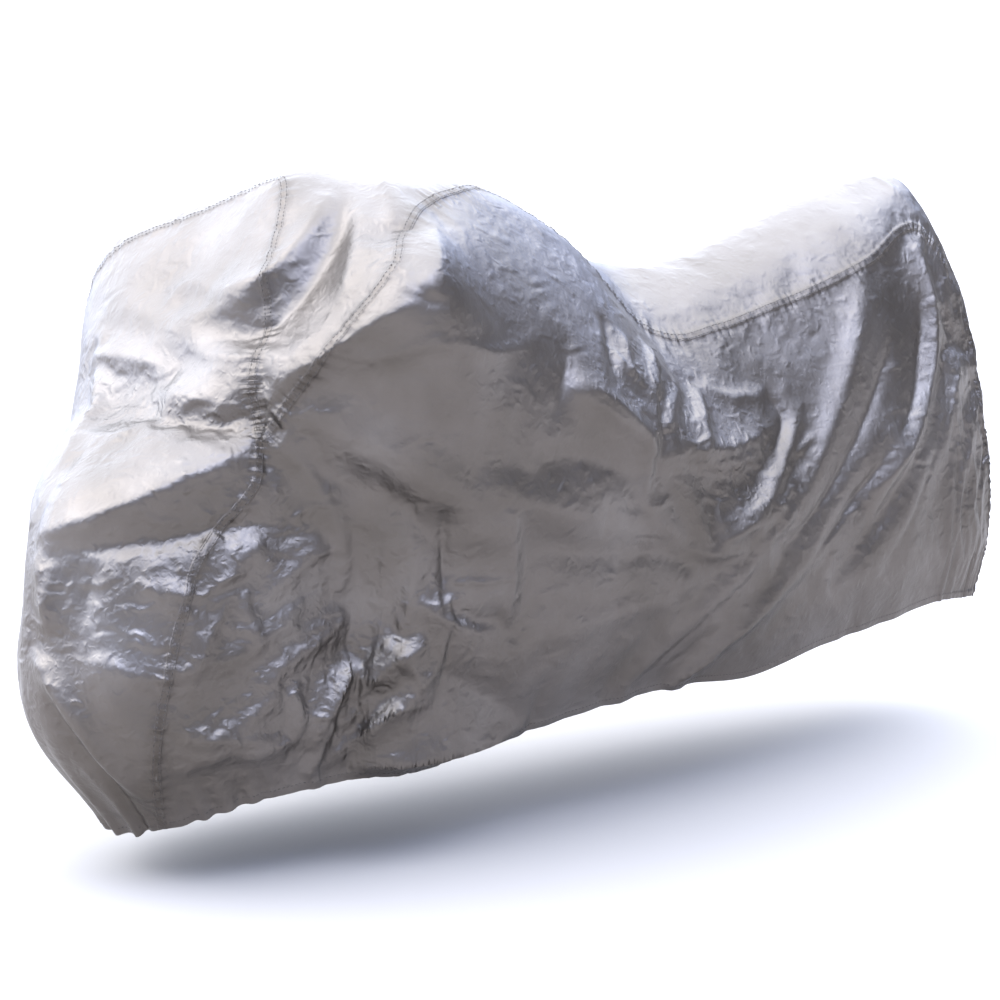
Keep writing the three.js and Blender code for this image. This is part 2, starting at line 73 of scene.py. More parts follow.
BODY_SECTIONS = [
    [-450, 90, 1135, 140, 1116, 250, 1056, 330, 978, 370, 900,
     385, 800, 375, 660, 345, 500, 320, 330, 260, 175],
    [-250, 90, 1108, 120, 1084, 200, 1024, 275, 945, 330, 860,
     360, 760, 370, 630, 355, 480, 330, 330, 260, 195],
    [-70, 90, 1035, 110, 1000, 180, 945, 245, 875, 300, 795,
     335, 710, 350, 600, 345, 470, 320, 340, 260, 213],
    [80, 90, 948, 100, 898, 165, 838, 225, 780, 275, 715,
     310, 645, 330, 550, 330, 440, 310, 330, 255, 218],
    [250, 90, 935, 100, 898, 162, 838, 208, 768, 248, 692,
     283, 610, 310, 510, 310, 410, 295, 310, 250, 208],
    [450, 90, 978, 90, 945, 150, 882, 190, 812, 225, 735,
     255, 650, 280, 550, 285, 440, 275, 335, 240, 237],
    [650, 90, 1037, 80, 1005, 135, 948, 170, 880, 200, 800,
     225, 710, 250, 600, 260, 480, 255, 365, 220, 255],
    [800, 90, 1062, 60, 1042, 100, 994, 130, 920, 160, 830,
     185, 735, 210, 620, 225, 500, 225, 380, 200, 268],
    [800, 120, 1062, 60, 1045, 100, 1000, 135, 925, 165, 835,
     190, 735, 215, 615, 230, 490, 230, 370, 205, 262],
    [800, 150, 1062, 62, 1054, 102, 1012, 150, 930, 190, 840,
     218, 735, 242, 610, 256, 480, 252, 350, 226, 245],
    [800, 180, 1062, 62, 1058, 105, 1022, 158, 935, 206, 840,
     240, 735, 264, 600, 277, 460, 272, 330, 244, 228],
]

# Places on the cloth are (along, down): along the girth from the nose centre in millimetres,
# near side positive and far side negative, and down from the spine (0) to the hem (1).
SEAMS = {
    "arch": [
        (160, 0.53), (150, 0.45), (144, 0.38), (143, 0.3), (134, 0.24), (118, 0.2), (98, 0.16), (60, 0.12),
        (-20, 0.095), (-120, 0.12), (-210, 0.18), (-265, 0.27), (-290, 0.4), (-270, 0.53)],
    "near_nose": [
        (160, 0.53), (157, 0.61), (134, 0.65), (120, 0.68), (115, 0.72), (110, 0.77), (103, 0.84), (84, 0.94),
        (66, 1)],
    "far_nose": [(-270, 0.53), (-250, 0.62), (-212, 0.72), (-172, 0.82), (-130, 0.92), (-100, 1)],
    "near_strip": [
        (160, 0.53), (200, 0.44), (250, 0.36), (292, 0.31), (332, 0.262), (362, 0.19), (420, 0.15),
        (490, 0.134), (571, 0.112), (695, 0.06), (790, 0.045), (890, 0.09), (960, 0.15), (1066, 0.19),
        (1170, 0.19), (1280, 0.19), (1385, 0.2), (1490, 0.212), (1577, 0.22), (1700, 0.21), (1850, 0.25),
        (1940, 0.33), (1968, 0.38), (1965, 0.48), (1950, 0.6), (1975, 0.8), (1990, 1)],
    "far_strip": [
        (-270, 0.53), (-330, 0.5), (-390, 0.44), (-440, 0.37), (-490, 0.31), (-550, 0.26), (-640, 0.22),
        (-760, 0.19), (-900, 0.19), (-1060, 0.2), (-1200, 0.2), (-1400, 0.2), (-1560, 0.21), (-1700, 0.22),
        (-1840, 0.28), (-1900, 0.36), (-1930, 0.5), (-1950, 0.7), (-1985, 1)],
}

# A fold is a soft ridge (height above 0) or trough (below 0) along a bow through three places:
# from, middle, to, height, width on its left, width on its right, and how crisp its crest is.
MAIN_FOLDS = [
    ((170, 0.4), (270, 0.36), (360, 0.35), 18, 60, 25, 1.5),
    ((360, 0.35), (380, 0.28), (420, 0.19), 12, 50, 30, 1.3),
    ((355, 0.17), (380, 0.12), (410, 0.06), 14, 20, 30, 1.4),
    ((0, 0.25), (150, 0.22), (220, 0.09), 18, 60, 24, 1.6),
    ((260, 0.28), (280, 0.2), (310, 0.08), 10, 22, 30, 1.6),
    ((-60, 0.28), (50, 0.27), (130, 0.25), 8, 22, 16, 1.3),
    ((-10, 0.64), (65, 0.61), (160, 0.55), 28, 90, 32, 1.4),
    ((20, 0.65), (90, 0.65), (190, 0.66), -12, 22, 32, 1.5),
    ((25, 0.75), (12, 0.69), (0, 0.65), 12, 22, 30, 1.3),
    ((70, 0.97), (50, 0.86), (10, 0.77), 12, 22, 22, 1.5),
    ((50, 0.97), (35, 0.88), (15, 0.82), -10, 22, 22, 1.5),
    ((110, 0.88), (140, 0.885), (190, 0.92), 12, 20, 32, 1.3),
    ((230, 0.93), (240, 0.87), (280, 0.83), 14, 22, 22, 1.4),
    ((270, 0.89), (330, 0.85), (390, 0.82), 14, 20, 24, 1.4),
    ((290, 0.95), (350, 0.9), (415, 0.86), 12, 20, 24, 1.4),
    ((400, 0.86), (500, 0.91), (640, 0.98), -12, 40, 30, 1.6),
    ((520, 0.81), (525, 0.72), (500, 0.63), 15, 70, 24, 1.5),
    ((370, 0.76), (430, 0.8), (510, 0.8), 10, 20, 30, 1.2),
    ((410, 0.77), (412, 0.69), (390, 0.63), -8, 24, 30, 1.6),
    ((160, 0.43), (340, 0.58), (520, 0.69), 14, 50, 50, 2),
    ((440, 0.6), (570, 0.63), (730, 0.65), 12, 32, 35, 1.8),
    ((550, 0.57), (680, 0.56), (820, 0.59), -8, 28, 28, 1.8),
    ((500, 0.69), (720, 0.71), (970, 0.72), -8, 32, 32, 1.8),
    ((630, 0.45), (740, 0.49), (855, 0.54), 20, 70, 26, 1.4),
    ((855, 0.54), (1050, 0.46), (1230, 0.41), 12, 50, 22, 1.5),
    ((1010, 0.67), (1140, 0.6), (1250, 0.52), 10, 32, 22, 1.5),
    ((1170, 0.63), (1400, 0.44), (1555, 0.23), 14, 32, 40, 1.8),
    ((810, 0.99), (990, 0.86), (1170, 0.63), 12, 32, 32, 1.8),
    ((1435, 0.67), (1670, 0.52), (1725, 0.23), 24, 45, 32, 1.6),
    ((960, 1), (1160, 0.82), (1435, 0.67), 20, 32, 26, 1.5),
    ((1520, 0.84), (1700, 0.63), (1850, 0.46), 14, 26, 32, 1.7),
    ((1330, 0.83), (1550, 0.68), (1720, 0.47), -10, 26, 30, 1.8),
    ((-180, 0.4), (-90, 0.37), (0, 0.37), 16, 50, 26, 1.5),
    ((-30, 0.56), (-90, 0.5), (-150, 0.41), 18, 32, 30, 1.5),
    ((-360, 0.19), (-330, 0.28), (-310, 0.37), 12, 45, 35, 1.5),
    ((-300, 0.5), (-160, 0.56), (-20, 0.63), 20, 70, 34, 1.5),
    ((-820, 0.66), (-600, 0.62), (-380, 0.46), 14, 50, 50, 2),
    ((-880, 0.52), (-760, 0.47), (-640, 0.43), 16, 55, 28, 1.5),
    ((-1560, 0.24), (-1380, 0.46), (-1120, 0.72), 15, 36, 36, 1.8),
    ((-1720, 0.26), (-1560, 0.56), (-1280, 0.86), 20, 38, 34, 1.6),
    ((-1830, 0.46), (-1700, 0.66), (-1510, 0.86), 12, 30, 30, 1.7),
    ((-420, 0.84), (-330, 0.87), (-240, 0.93), 14, 28, 28, 1.5),
    ((-760, 0.95), (-600, 0.86), (-470, 0.82), 12, 36, 30, 1.6),
]
SMALL_FOLDS = [
    # The hollow over the dome's front, and the crumples between it and the nose
    ((-90, 0.29), (-70, 0.25), (40, 0.25), 10, 20, 20, 1.2),
    ((0, 0.25), (150, 0.22), (220, 0.09), 8, 40, 22, 1.4),
    ((10, 0.3), (170, 0.26), (260, 0.08), -22, 30, 60, 1.3),
    ((0, 0.31), (80, 0.34), (150, 0.33), 8, 20, 26, 1.2),
    ((-210, 0.33), (-10, 0.3), (140, 0.35), 10, 30, 30, 2),
    ((-30, 0.41), (70, 0.43), (150, 0.46), 12, 40, 20, 1.4),
    ((-20, 0.46), (70, 0.48), (140, 0.5), -10, 18, 30, 1.4),
    ((20, 0.5), (50, 0.49), (80, 0.47), 6, 12, 20, 1.2),
    ((-60, 0.52), (0, 0.5), (20, 0.46), 9, 16, 24, 1.2),
    ((90, 0.94), (80, 0.84), (50, 0.75), 8, 20, 30, 1.6),
    ((0, 0.77), (50, 0.84), (70, 0.96), 12, 24, 20, 1.3),
    # Facets on the lower nose and across its seam
    ((20, 0.66), (90, 0.66), (190, 0.67), 9, 24, 34, 1.5),
    ((20, 0.66), (20, 0.7), (20, 0.74), 9, 16, 18, 1.3),
    ((50, 0.66), (50, 0.7), (50, 0.73), -8, 14, 16, 1.4),
    ((80, 0.68), (100, 0.7), (120, 0.71), 9, 16, 16, 1.2),
    ((60, 0.76), (80, 0.78), (110, 0.8), 10, 18, 20, 1.2),
    ((100, 0.8), (130, 0.79), (170, 0.79), 12, 18, 22, 1.15),
    ((130, 0.79), (130, 0.76), (150, 0.72), 11, 20, 16, 1.15),
    ((150, 0.72), (160, 0.76), (170, 0.79), 9, 16, 14, 1.2),
    ((120, 0.72), (150, 0.69), (170, 0.67), 9, 20, 20, 1.3),
    ((100, 0.92), (130, 0.91), (150, 0.9), 12, 24, 14, 1.15),
    ((190, 0.84), (200, 0.88), (190, 0.93), 14, 20, 18, 1.1),
    ((190, 0.84), (170, 0.86), (150, 0.87), 10, 16, 18, 1.15),
    ((140, 0.91), (160, 0.92), (190, 0.92), 12, 18, 14, 1.15),
    ((200, 0.98), (220, 0.94), (230, 0.9), 12, 14, 16, 1.15),
    ((170, 0.74), (200, 0.7), (240, 0.68), 9, 18, 22, 1.2),
    ((160, 0.79), (180, 0.77), (210, 0.74), 8, 16, 18, 1.2),
    ((160, 0.84), (210, 0.8), (270, 0.77), 10, 22, 22, 1.3),
    # Facets over the near skirt, and the bright triangle above its hem
    ((260, 0.98), (440, 0.98), (640, 0.98), 38, 55, 20, 1.3),
    ((220, 0.97), (310, 0.92), (410, 0.89), 16, 12, 30, 1.1),
    ((210, 0.94), (230, 0.88), (270, 0.84), 16, 20, 18, 1.1),
    ((270, 0.84), (310, 0.86), (350, 0.86), 10, 16, 18, 1.15),
    ((290, 0.85), (320, 0.83), (340, 0.81), 11, 14, 20, 1.1),
    ((340, 0.82), (360, 0.85), (390, 0.89), 13, 22, 14, 1.15),
    ((250, 0.92), (280, 0.9), (320, 0.89), 10, 14, 16, 1.15),
    ((400, 0.64), (410, 0.71), (420, 0.77), -11, 12, 20, 1.2),
    ((420, 0.77), (470, 0.8), (520, 0.79), -12, 18, 14, 1.15),
    ((960, 1), (1010, 0.95), (1070, 0.92), 10, 8, 20, 1.1),
    # Soft swells of the near side
    ((280, 0.38), (370, 0.43), (610, 0.37), 5, 12, 15, 1.3),
    ((200, 0.58), (320, 0.62), (400, 0.71), -8, 30, 30, 1.6),
    ((170, 0.54), (240, 0.62), (270, 0.74), 8, 26, 30, 1.5),
    ((560, 0.84), (740, 0.82), (930, 0.81), 6, 22, 26, 1.6),
    ((90, 0.67), (120, 0.74), (120, 0.83), 6, 20, 20, 1.4),
    # Pulls under the seat
    ((640, 0.45), (740, 0.47), (890, 0.56), 10, 30, 10, 1.15),
    ((770, 0.41), (790, 0.35), (810, 0.29), -8, 12, 12, 1.4),
    ((820, 0.4), (830, 0.35), (850, 0.31), 8, 12, 12, 1.4),
    ((880, 0.41), (910, 0.34), (940, 0.26), 6, 12, 12, 1.4),
    ((940, 0.28), (870, 0.41), (850, 0.51), 8, 12, 12, 1.2),
    ((990, 0.31), (920, 0.42), (880, 0.49), 8, 12, 12, 1.2),
    ((800, 0.35), (800, 0.38), (850, 0.4), 7, 12, 12, 1.2),
    ((1050, 0.31), (1010, 0.41), (970, 0.52), 12, 12, 28, 1.15),
    ((970, 0.52), (1070, 0.49), (1180, 0.45), 10, 28, 10, 1.15),
    ((1050, 0.31), (1140, 0.34), (1230, 0.34), 7, 10, 18, 1.2),
    ((1220, 0.35), (1250, 0.41), (1200, 0.46), -9, 10, 14, 1.3),
    ((940, 0.7), (1020, 0.7), (1100, 0.67), 8, 24, 10, 1.2),
    ((1100, 0.67), (1180, 0.63), (1220, 0.58), 10, 28, 12, 1.2),
    ((1250, 0.49), (1280, 0.48), (1320, 0.47), 6, 6, 6, 1.1),
    # Sweeps from the tail down to the skirt
    ((1090, 0.86), (1320, 0.72), (1540, 0.58), -18, 20, 34, 1.1),
    ((1540, 0.58), (1640, 0.5), (1700, 0.34), -16, 20, 32, 1.15),
    ((1500, 0.88), (1640, 0.7), (1800, 0.5), -12, 20, 30, 1.3),
    ((1160, 0.7), (1410, 0.55), (1590, 0.38), -8, 12, 18, 1.2),
    ((970, 0.72), (1170, 0.54), (1310, 0.4), 8, 28, 18, 1.4),
    ((850, 0.98), (970, 0.88), (1150, 0.7), -10, 18, 24, 1.3),
]
FOLD_STEPS = 12
FOLD_REACH = 2.6
CREST_SHARE = 0.16
CREST_WIDTH = 9
CREST_CRISP = 1.05
SOFT_CRISP = 1.65
NOISE_CELLS = 64
CREASE_BEND = 170
CREASE_LENGTHS = [(130, 1), (70, 0.6), (38, 0.35)]
CREASE_HEIGHT = 8
CREASE_STRETCH = 2

# Size of the mesh on the plan, in metres
SEAM_STEP = 0.0045
CLOTH_STEP = 0.0077
SIM_STEP = 0.021
CLOTH_THICKNESS = 0.0009
RIM_ANGLE = 60


def section_place(pole_x, turn):
    radians = math.radians(turn)
    past_front = max(radians - math.pi / 2, 0)
    return FAN_RADIUS * min(radians, math.pi / 2) + pole_x - FRONT_POLE_X + FAN_RADIUS * past_front


HALF_GIRTH = section_place(REAR_POLE_X, 180)
QUARTER_FAN = FAN_RADIUS * math.pi / 2


def curve_slopes(places, rows):
    """Slopes of a smooth curve through rows of numbers; the rows run along the next to last axis."""
    step = np.diff(places)[:, None]
    rise = np.diff(rows, axis=-2) / step
    middle = (rise[..., :-1, :] * step[1:] + rise[..., 1:, :] * step[:-1]) / (step[:-1] + step[1:])
    return np.concatenate([rise[..., :1, :], middle, rise[..., -1:, :]], axis=-2)


def curve_at(places, rows, slopes, at):
    i = np.clip(np.searchsorted(places, at, side="right") - 1, 0, len(places) - 2)
    span = (places[i + 1] - places[i])[:, None]
    t = (at - places[i])[:, None] / span
    one_curve = rows.ndim == 2
    pick = lambda table, k: table[k] if one_curve else table[np.arange(len(at)), k]
    start_weight = 2 * t ** 3 - 3 * t ** 2 + 1
    return (pick(rows, i) * start_weight + pick(slopes, i) * (t ** 3 - 2 * t ** 2 + t) * span
            + pick(rows, i + 1) * (1 - start_weight) + pick(slopes, i + 1) * (t ** 3 - t ** 2) * span)


def half_shell(sections):
    rows = np.array([crown_and_levels for _, _, *crown_and_levels in sections], float)
    places = np.array([section_place(pole_x, turn) for pole_x, turn, *_ in sections])
    slopes = curve_slopes(places, rows)
    slopes[0] = slopes[-1] = 0
    return places, rows, slopes


NEAR_SHELL = half_shell([NOSE_SECTION, *NEAR_FRONT_SECTIONS, *BODY_SECTIONS])
FAR_SHELL = half_shell([NOSE_SECTION, *FAR_FRONT_SECTIONS, *BODY_SECTIONS])


def pole_and_turn(place):
    spine = np.clip(place - QUARTER_FAN, 0, REAR_POLE_X - FRONT_POLE_X)
    fan = np.where(place < QUARTER_FAN, place, place - spine)
    return FRONT_POLE_X + spine, fan / FAN_RADIUS


def shell_point(along, down):
    """Places on the cloth to points of the smooth shell, in millimetres over the ground."""
    place = np.minimum(np.abs(along), HALF_GIRTH)
    near = (along >= 0)[:, None]
    section = np.where(near, curve_at(*NEAR_SHELL, place), curve_at(*FAR_SHELL, place))
    crown = np.stack([np.zeros(len(place)), section[:, 0]], axis=1)[:, None]
    profile = np.concatenate([crown, section[:, 1:].reshape(len(place), -1, 2)], axis=1)
    slopes = curve_slopes(LEVEL_DOWNS, profile)
    slopes[:, 0, 1] = 0
    reach, height = curve_at(LEVEL_DOWNS, profile, slopes, down).T
    pole_x, turn = pole_and_turn(place)
    side = np.where(along >= 0, -1, 1)
    return np.stack([pole_x - reach * np.cos(turn), side * reach * np.sin(turn), height], axis=1)


def to_plan(along, down):
    pole_x, turn = pole_and_turn(np.abs(along))
    reach = down * PLAN_REACH
    side = np.where(along >= 0, -1, 1)
    return np.stack([pole_x - reach * np.cos(turn), side * reach * np.sin(turn)], axis=1)


def from_plan(plan):
    x, y = plan.T
    spine = np.clip(x, FRONT_POLE_X, REAR_POLE_X)
    reach = np.hypot(x - spine, y)
    turn = np.where(reach > 0, np.arctan2(np.abs(y), spine - x), math.pi / 2)
    place = FAN_RADIUS * turn + spine - FRONT_POLE_X
    return np.where(y > 0, -place, place), reach / PLAN_REACH


def inside_plan(plan):
    spine = np.stack([np.clip(plan[:, 0], FRONT_POLE_X, REAR_POLE_X), np.zeros(len(plan))], axis=1)
    reach = np.linalg.norm(plan - spine, axis=1, keepdims=True)
    return spine + (plan - spine) * np.minimum(1, PLAN_REACH / np.maximum(reach, 1))


def bare_surface(plan):
    return shell_point(*from_plan(inside_plan(plan)))


def outward_at(surface, plan, step=3):
    x_step, y_step = np.array([step, 0]), np.array([0, step])
    along_x = surface(plan + x_step) - surface(plan - x_step)
    along_y = surface(plan + y_step) - surface(plan - y_step)
    outward = np.cross(along_x, along_y)
    return outward / np.linalg.norm(outward, axis=1, keepdims=True)


def fold_line(start, middle, end):
    t = np.linspace(0, 1, FOLD_STEPS + 1)[:, None]
    start, middle, end = map(np.array, (start, middle, end))
    places = start * (1 - t) + end * t + (middle - (start + end) / 2) * 4 * t * (1 - t)
    return shell_point(places[:, 0], np.minimum(places[:, 1], 1))


def fold_lift(points, outward, fold):
    """How far one fold lifts each point of the shell."""
    start, middle, end, height, left_width, right_width, crisp = fold
    line = fold_line(start, middle, end)
    reach = FOLD_REACH * max(left_width, right_width)
    inside = np.all((points > line.min(0) - reach) & (points < line.max(0) + reach), axis=1)
    lift = np.zeros(len(points))
    near = points[inside]
    best = np.full(len(near), np.inf)
    run = np.zeros(len(near))
    left = np.zeros(len(near))
    for i in range(FOLD_STEPS):
        step = line[i + 1] - line[i]
        offset = near - line[i]
        t = np.clip(offset @ step / (step @ step), 0, 1)
        offset = offset - t[:, None] * step
        distance = np.linalg.norm(offset, axis=1)
        closer = distance < best
        best = np.where(closer, distance, best)
        run = np.where(closer, (i + t) / FOLD_STEPS, run)
        side = np.einsum("ij,ij->i", np.cross(outward[inside], step), offset)
        left = np.where(closer, side, left)
    width = np.where(left > 0, left_width, right_width)
    taper = 1 - np.abs(2 * run - 1) ** 3
    lift[inside] = height * taper * np.exp(-((best / width) ** crisp))
    return lift


def crest_of(fold):
    """The narrow crease along the crest of a crisp fold."""
    *places, height, _, _, crisp = fold
    if crisp >= SOFT_CRISP:
        return None
    return (*places, CREST_SHARE * height, CREST_WIDTH, CREST_WIDTH, CREST_CRISP)


def gradient_noise(places, seed):
    """Smooth noise, about -1 to 1, over places on a plane; one swell for each unit."""
    turns = np.random.default_rng(seed).uniform(0, 2 * math.pi, (NOISE_CELLS, NOISE_CELLS))
    cell = np.floor(places).astype(int)
    part = places - cell
    ease = part ** 3 * (part * (part * 6 - 15) + 10)

    def from_corner(i, j):
        turn = turns[(cell[:, 0] + i) % NOISE_CELLS, (cell[:, 1] + j) % NOISE_CELLS]
        return np.cos(turn) * (part[:, 0] - i) + np.sin(turn) * (part[:, 1] - j)

    low = from_corner(0, 0) + ease[:, 0] * (from_corner(1, 0) - from_corner(0, 0))
    high = from_corner(0, 1) + ease[:, 0] * (from_corner(1, 1) - from_corner(0, 1))
    return 1.4 * (low + ease[:, 1] * (high - low))


def creases(plan):
    """A net of crisp crossing creases over the plan, longer down towards the nose, about -1 to 1."""
    x, y = plan[:, 0], np.abs(plan[:, 1])
    plan = np.stack([(x - y) / CREASE_STRETCH, x + y], axis=1) / math.sqrt(2)
    bend = np.stack([gradient_noise(plan / CREASE_BEND, seed) for seed in (1, 2)], axis=1) * CREASE_BEND * 0.3
    total = sum(share * (0.6 - 2 * np.abs(gradient_noise((plan + bend) / length, 3 + i)))
                for i, (length, share) in enumerate(CREASE_LENGTHS))
    return total / sum(share for _, share in CREASE_LENGTHS)


def fullness_at(plan):
    """How full and crumpled the cloth lies at places on the plan, from 0 to 1."""
    along, down = from_plan(plan)
    fullness = BASE_FULLNESS + spot_weight(along, down, CRUMPLES)
    smooth = spot_weight(along, down, [(*spot, 1) for spot in SMOOTH_PLACES])
    return np.clip(fullness * (1 - 0.9 * smooth), 0, 1)


def draped_surface(plan):
    points = bare_surface(plan)
    outward = outward_at(bare_surface, plan)
    crests = [crest for crest in map(crest_of, MAIN_FOLDS) if crest]
    lift = sum(fold_lift(points, outward, fold) for fold in MAIN_FOLDS + SMALL_FOLDS + crests)
    lift = lift + CREASE_HEIGHT * fullness_at(plan) * creases(plan)
    return points + outward * lift[:, None]


def to_metres(points):
    return (points - ORIGIN) * MM


# The crumpled fullness of the cloth: the whole cover as one net, grown a little where it crumples
# and let buckle by cloth simulation while soft pins hold its drape.
BASE_FULLNESS = 0.1
CRUMPLES = [  # along, down, reach along, reach down, amount
    (240, 0.87, 190, 0.12, 0.42),
    (400, 0.8, 150, 0.1, 0.4),
    (130, 0.7, 90, 0.12, 0.4),
    (-40, 0.8, 160, 0.15, 0.35),
    (150, 0.45, 70, 0.1, 0.5),
    (0, 0.45, 160, 0.08, 0.5),
    (330, 0.2, 60, 0.08, 0.4),
    (880, 0.42, 160, 0.1, 0.4),
    (1080, 0.5, 160, 0.12, 0.3),
    (1500, 0.15, 260, 0.06, 0.1),
    (1900, 0.6, 160, 0.35, 0.35),
    (-700, 0.7, 500, 0.25, 0.35),
    (-1400, 0.6, 500, 0.3, 0.3),
]
SMOOTH_PLACES = [(620, 0.3, 220, 0.16), (1350, 0.4, 130, 0.16), (1600, 0.1, 400, 0.1)]


def stadium_outline(step):
    fan = math.pi * PLAN_REACH
    turns = np.linspace(0, math.pi, int(fan / (step / MM)), endpoint=False)
    back = np.stack([REAR_POLE_X + PLAN_REACH * np.sin(turns), -PLAN_REACH * np.cos(turns)], axis=1)
    front = np.stack([FRONT_POLE_X - PLAN_REACH * np.sin(turns), PLAN_REACH * np.cos(turns)], axis=1)
    spine = np.arange(FRONT_POLE_X, REAR_POLE_X, step / MM)
    near = np.stack([spine, np.full(len(spine), -PLAN_REACH)], axis=1)
    far = np.stack([spine[::-1], np.full(len(spine), PLAN_REACH)], axis=1)
    return np.concatenate([near, back, far, front])


def inside_outline(outline, points):
    inside = np.zeros(len(points), bool)
    starts, ends = outline, np.roll(outline, -1, axis=0)
    for (x0, y0), (x1, y1) in zip(starts, ends):
        if y0 == y1:
            continue
        crosses = (y0 > points[:, 1]) != (y1 > points[:, 1])
        inside ^= crosses & (points[:, 0] < (x1 - x0) * (points[:, 1] - y0) / (y1 - y0) + x0)
    return inside


def staggered_points(outline, step, rng, uneven=0.12):
    """Points in staggered rows over the outline's box, a little uneven."""
    step = step / MM
    low, high = outline.min(0), outline.max(0)
    rows = np.arange(low[1], high[1], step * math.sqrt(3) / 2)
    columns = np.arange(low[0], high[0], step)
    x, y = np.meshgrid(columns, rows)
    x = x + (np.arange(len(rows)) % 2)[:, None] * step / 2
    points = np.stack([x.ravel(), y.ravel()], axis=1)
    return points + rng.uniform(-uneven, uneven, points.shape) * step


def distance_to(samples, points, reach):
    """Distance from each point to the nearest sample, and its number; far points get the reach."""
    tree = kdtree.KDTree(len(samples))
    for i, sample in enumerate(samples):
        tree.insert((*sample, 0) if len(sample) == 2 else sample, i)
    tree.balance()
    distance = np.full(len(points), float(reach))
    nearest = np.zeros(len(points), int)
    box_low, box_high = samples.min(0) - reach, samples.max(0) + reach
    for i in np.flatnonzero(np.all((points > box_low) & (points < box_high), axis=1)):
        point = points[i]
        _, number, gap = tree.find((*point, 0) if len(point) == 2 else point)
        if gap < reach:
            distance[i], nearest[i] = gap, number
    return distance, nearest


def plan_net(outline, inner):
    """Triangles over an outline and its inner points on the plan, counter-clockwise from above."""
    points = np.concatenate([outline, inner])
    vectors = [Vector(p) for p in points * MM]
    verts, _, faces, *_ = geometry.delaunay_2d_cdt(vectors, [], [list(range(len(outline)))], 1, 1e-7)
    plan = np.array(verts) / MM
    faces = np.array(faces)
    a, b, c = plan[faces[:, 0]], plan[faces[:, 1]], plan[faces[:, 2]]
    doubled = (b[:, 0] - a[:, 0]) * (c[:, 1] - a[:, 1]) - (b[:, 1] - a[:, 1]) * (c[:, 0] - a[:, 0])
    faces[doubled < 0] = faces[doubled < 0][:, ::-1]
    return plan, faces[np.abs(doubled) > 1e-6]


def spot_weight(along, down, spots):
    weight = np.zeros(len(along))
    for place_along, place_down, reach_along, reach_down, amount in spots:
        square = ((along - place_along) / reach_along) ** 2 + ((down - place_down) / reach_down) ** 2
        weight = np.maximum(weight, amount * np.exp(-square))
    return weight


def new_object(name, points, faces):
    mesh = bpy.data.meshes.new(name)
    mesh.from_pydata(points.tolist(), [], faces.tolist())
    mesh.update()
    obj = bpy.data.objects.new(name, mesh)
    bpy.context.scene.collection.objects.link(obj)
    return obj


def give_group(obj, name, weights):
    group = obj.vertex_groups.new(name=name)
    levels = np.round(np.clip(weights, 0, 1), 2)
    for level in np.unique(levels):
        group.add(np.flatnonzero(levels == level).tolist(), float(level), "REPLACE")
    return group.name


SIM_SEED = 7
SIM_FRAMES = 14
SIM_GROWTH = -0.05
SIM_CAP = 0.016
SIM_HOLD = (0.3, 0.2)
SIM_BEND = 4
SIM_STRETCH = 20
SIM_UNEVEN = 0.3


def crumpled_net():
    """The simulated net: its plan, its triangles and how far each point moved."""
    rng = np.random.default_rng(SIM_SEED)
    outline = stadium_outline(SIM_STEP)
    inner = staggered_points(outline, SIM_STEP, rng, SIM_UNEVEN)
    inner = inner[inside_outline(outline, inner)]
    spine = np.stack([np.clip(inner[:, 0], FRONT_POLE_X, REAR_POLE_X), np.zeros(len(inner))], axis=1)
    inner = inner[np.linalg.norm(inner - spine, axis=1) < PLAN_REACH - 0.6 * SIM_STEP / MM]
    plan, faces = plan_net(outline, inner)
    points = to_metres(draped_surface(plan))
    fullness = fullness_at(plan)
    obj = new_object("crumple_net", points, faces)
    taut = give_group(obj, "taut", 1 - fullness)
    hold = give_group(obj, "hold", np.clip(SIM_HOLD[0] - SIM_HOLD[1] * fullness, 0.05, 1))
    cloth = obj.modifiers.new("cloth", "CLOTH")
    settings = cloth.settings
    settings.quality = 3
    settings.mass = 0.2
    settings.tension_stiffness = settings.compression_stiffness = SIM_STRETCH
    settings.shear_stiffness = SIM_STRETCH / 2
    settings.bending_model = "ANGULAR"
    settings.bending_stiffness = SIM_BEND
    settings.tension_damping = settings.compression_damping = settings.shear_damping = 5
    settings.air_damping = 4
    settings.vertex_group_mass = hold
    settings.pin_stiffness = 1
    settings.vertex_group_shrink = taut
    settings.shrink_min = SIM_GROWTH
    settings.effector_weights.gravity = 0
    cloth.collision_settings.use_collision = False
    cloth.collision_settings.use_self_collision = False
    cloth.point_cache.frame_start, cloth.point_cache.frame_end = 1, SIM_FRAMES
    scene = bpy.context.scene
    for number in range(1, SIM_FRAMES + 1):
        scene.frame_set(number)
    evaluated = obj.evaluated_get(bpy.context.evaluated_depsgraph_get())
    moved = np.empty(len(points) * 3)
    evaluated.data.vertices.foreach_get("co", moved)
    scene.frame_set(1)
    bpy.data.objects.remove(obj)
    shift = moved.reshape(-1, 3) - points
    length = np.linalg.norm(shift, axis=1, keepdims=True)
    return plan, faces, shift * np.minimum(1, SIM_CAP / np.maximum(length, 1e-9))


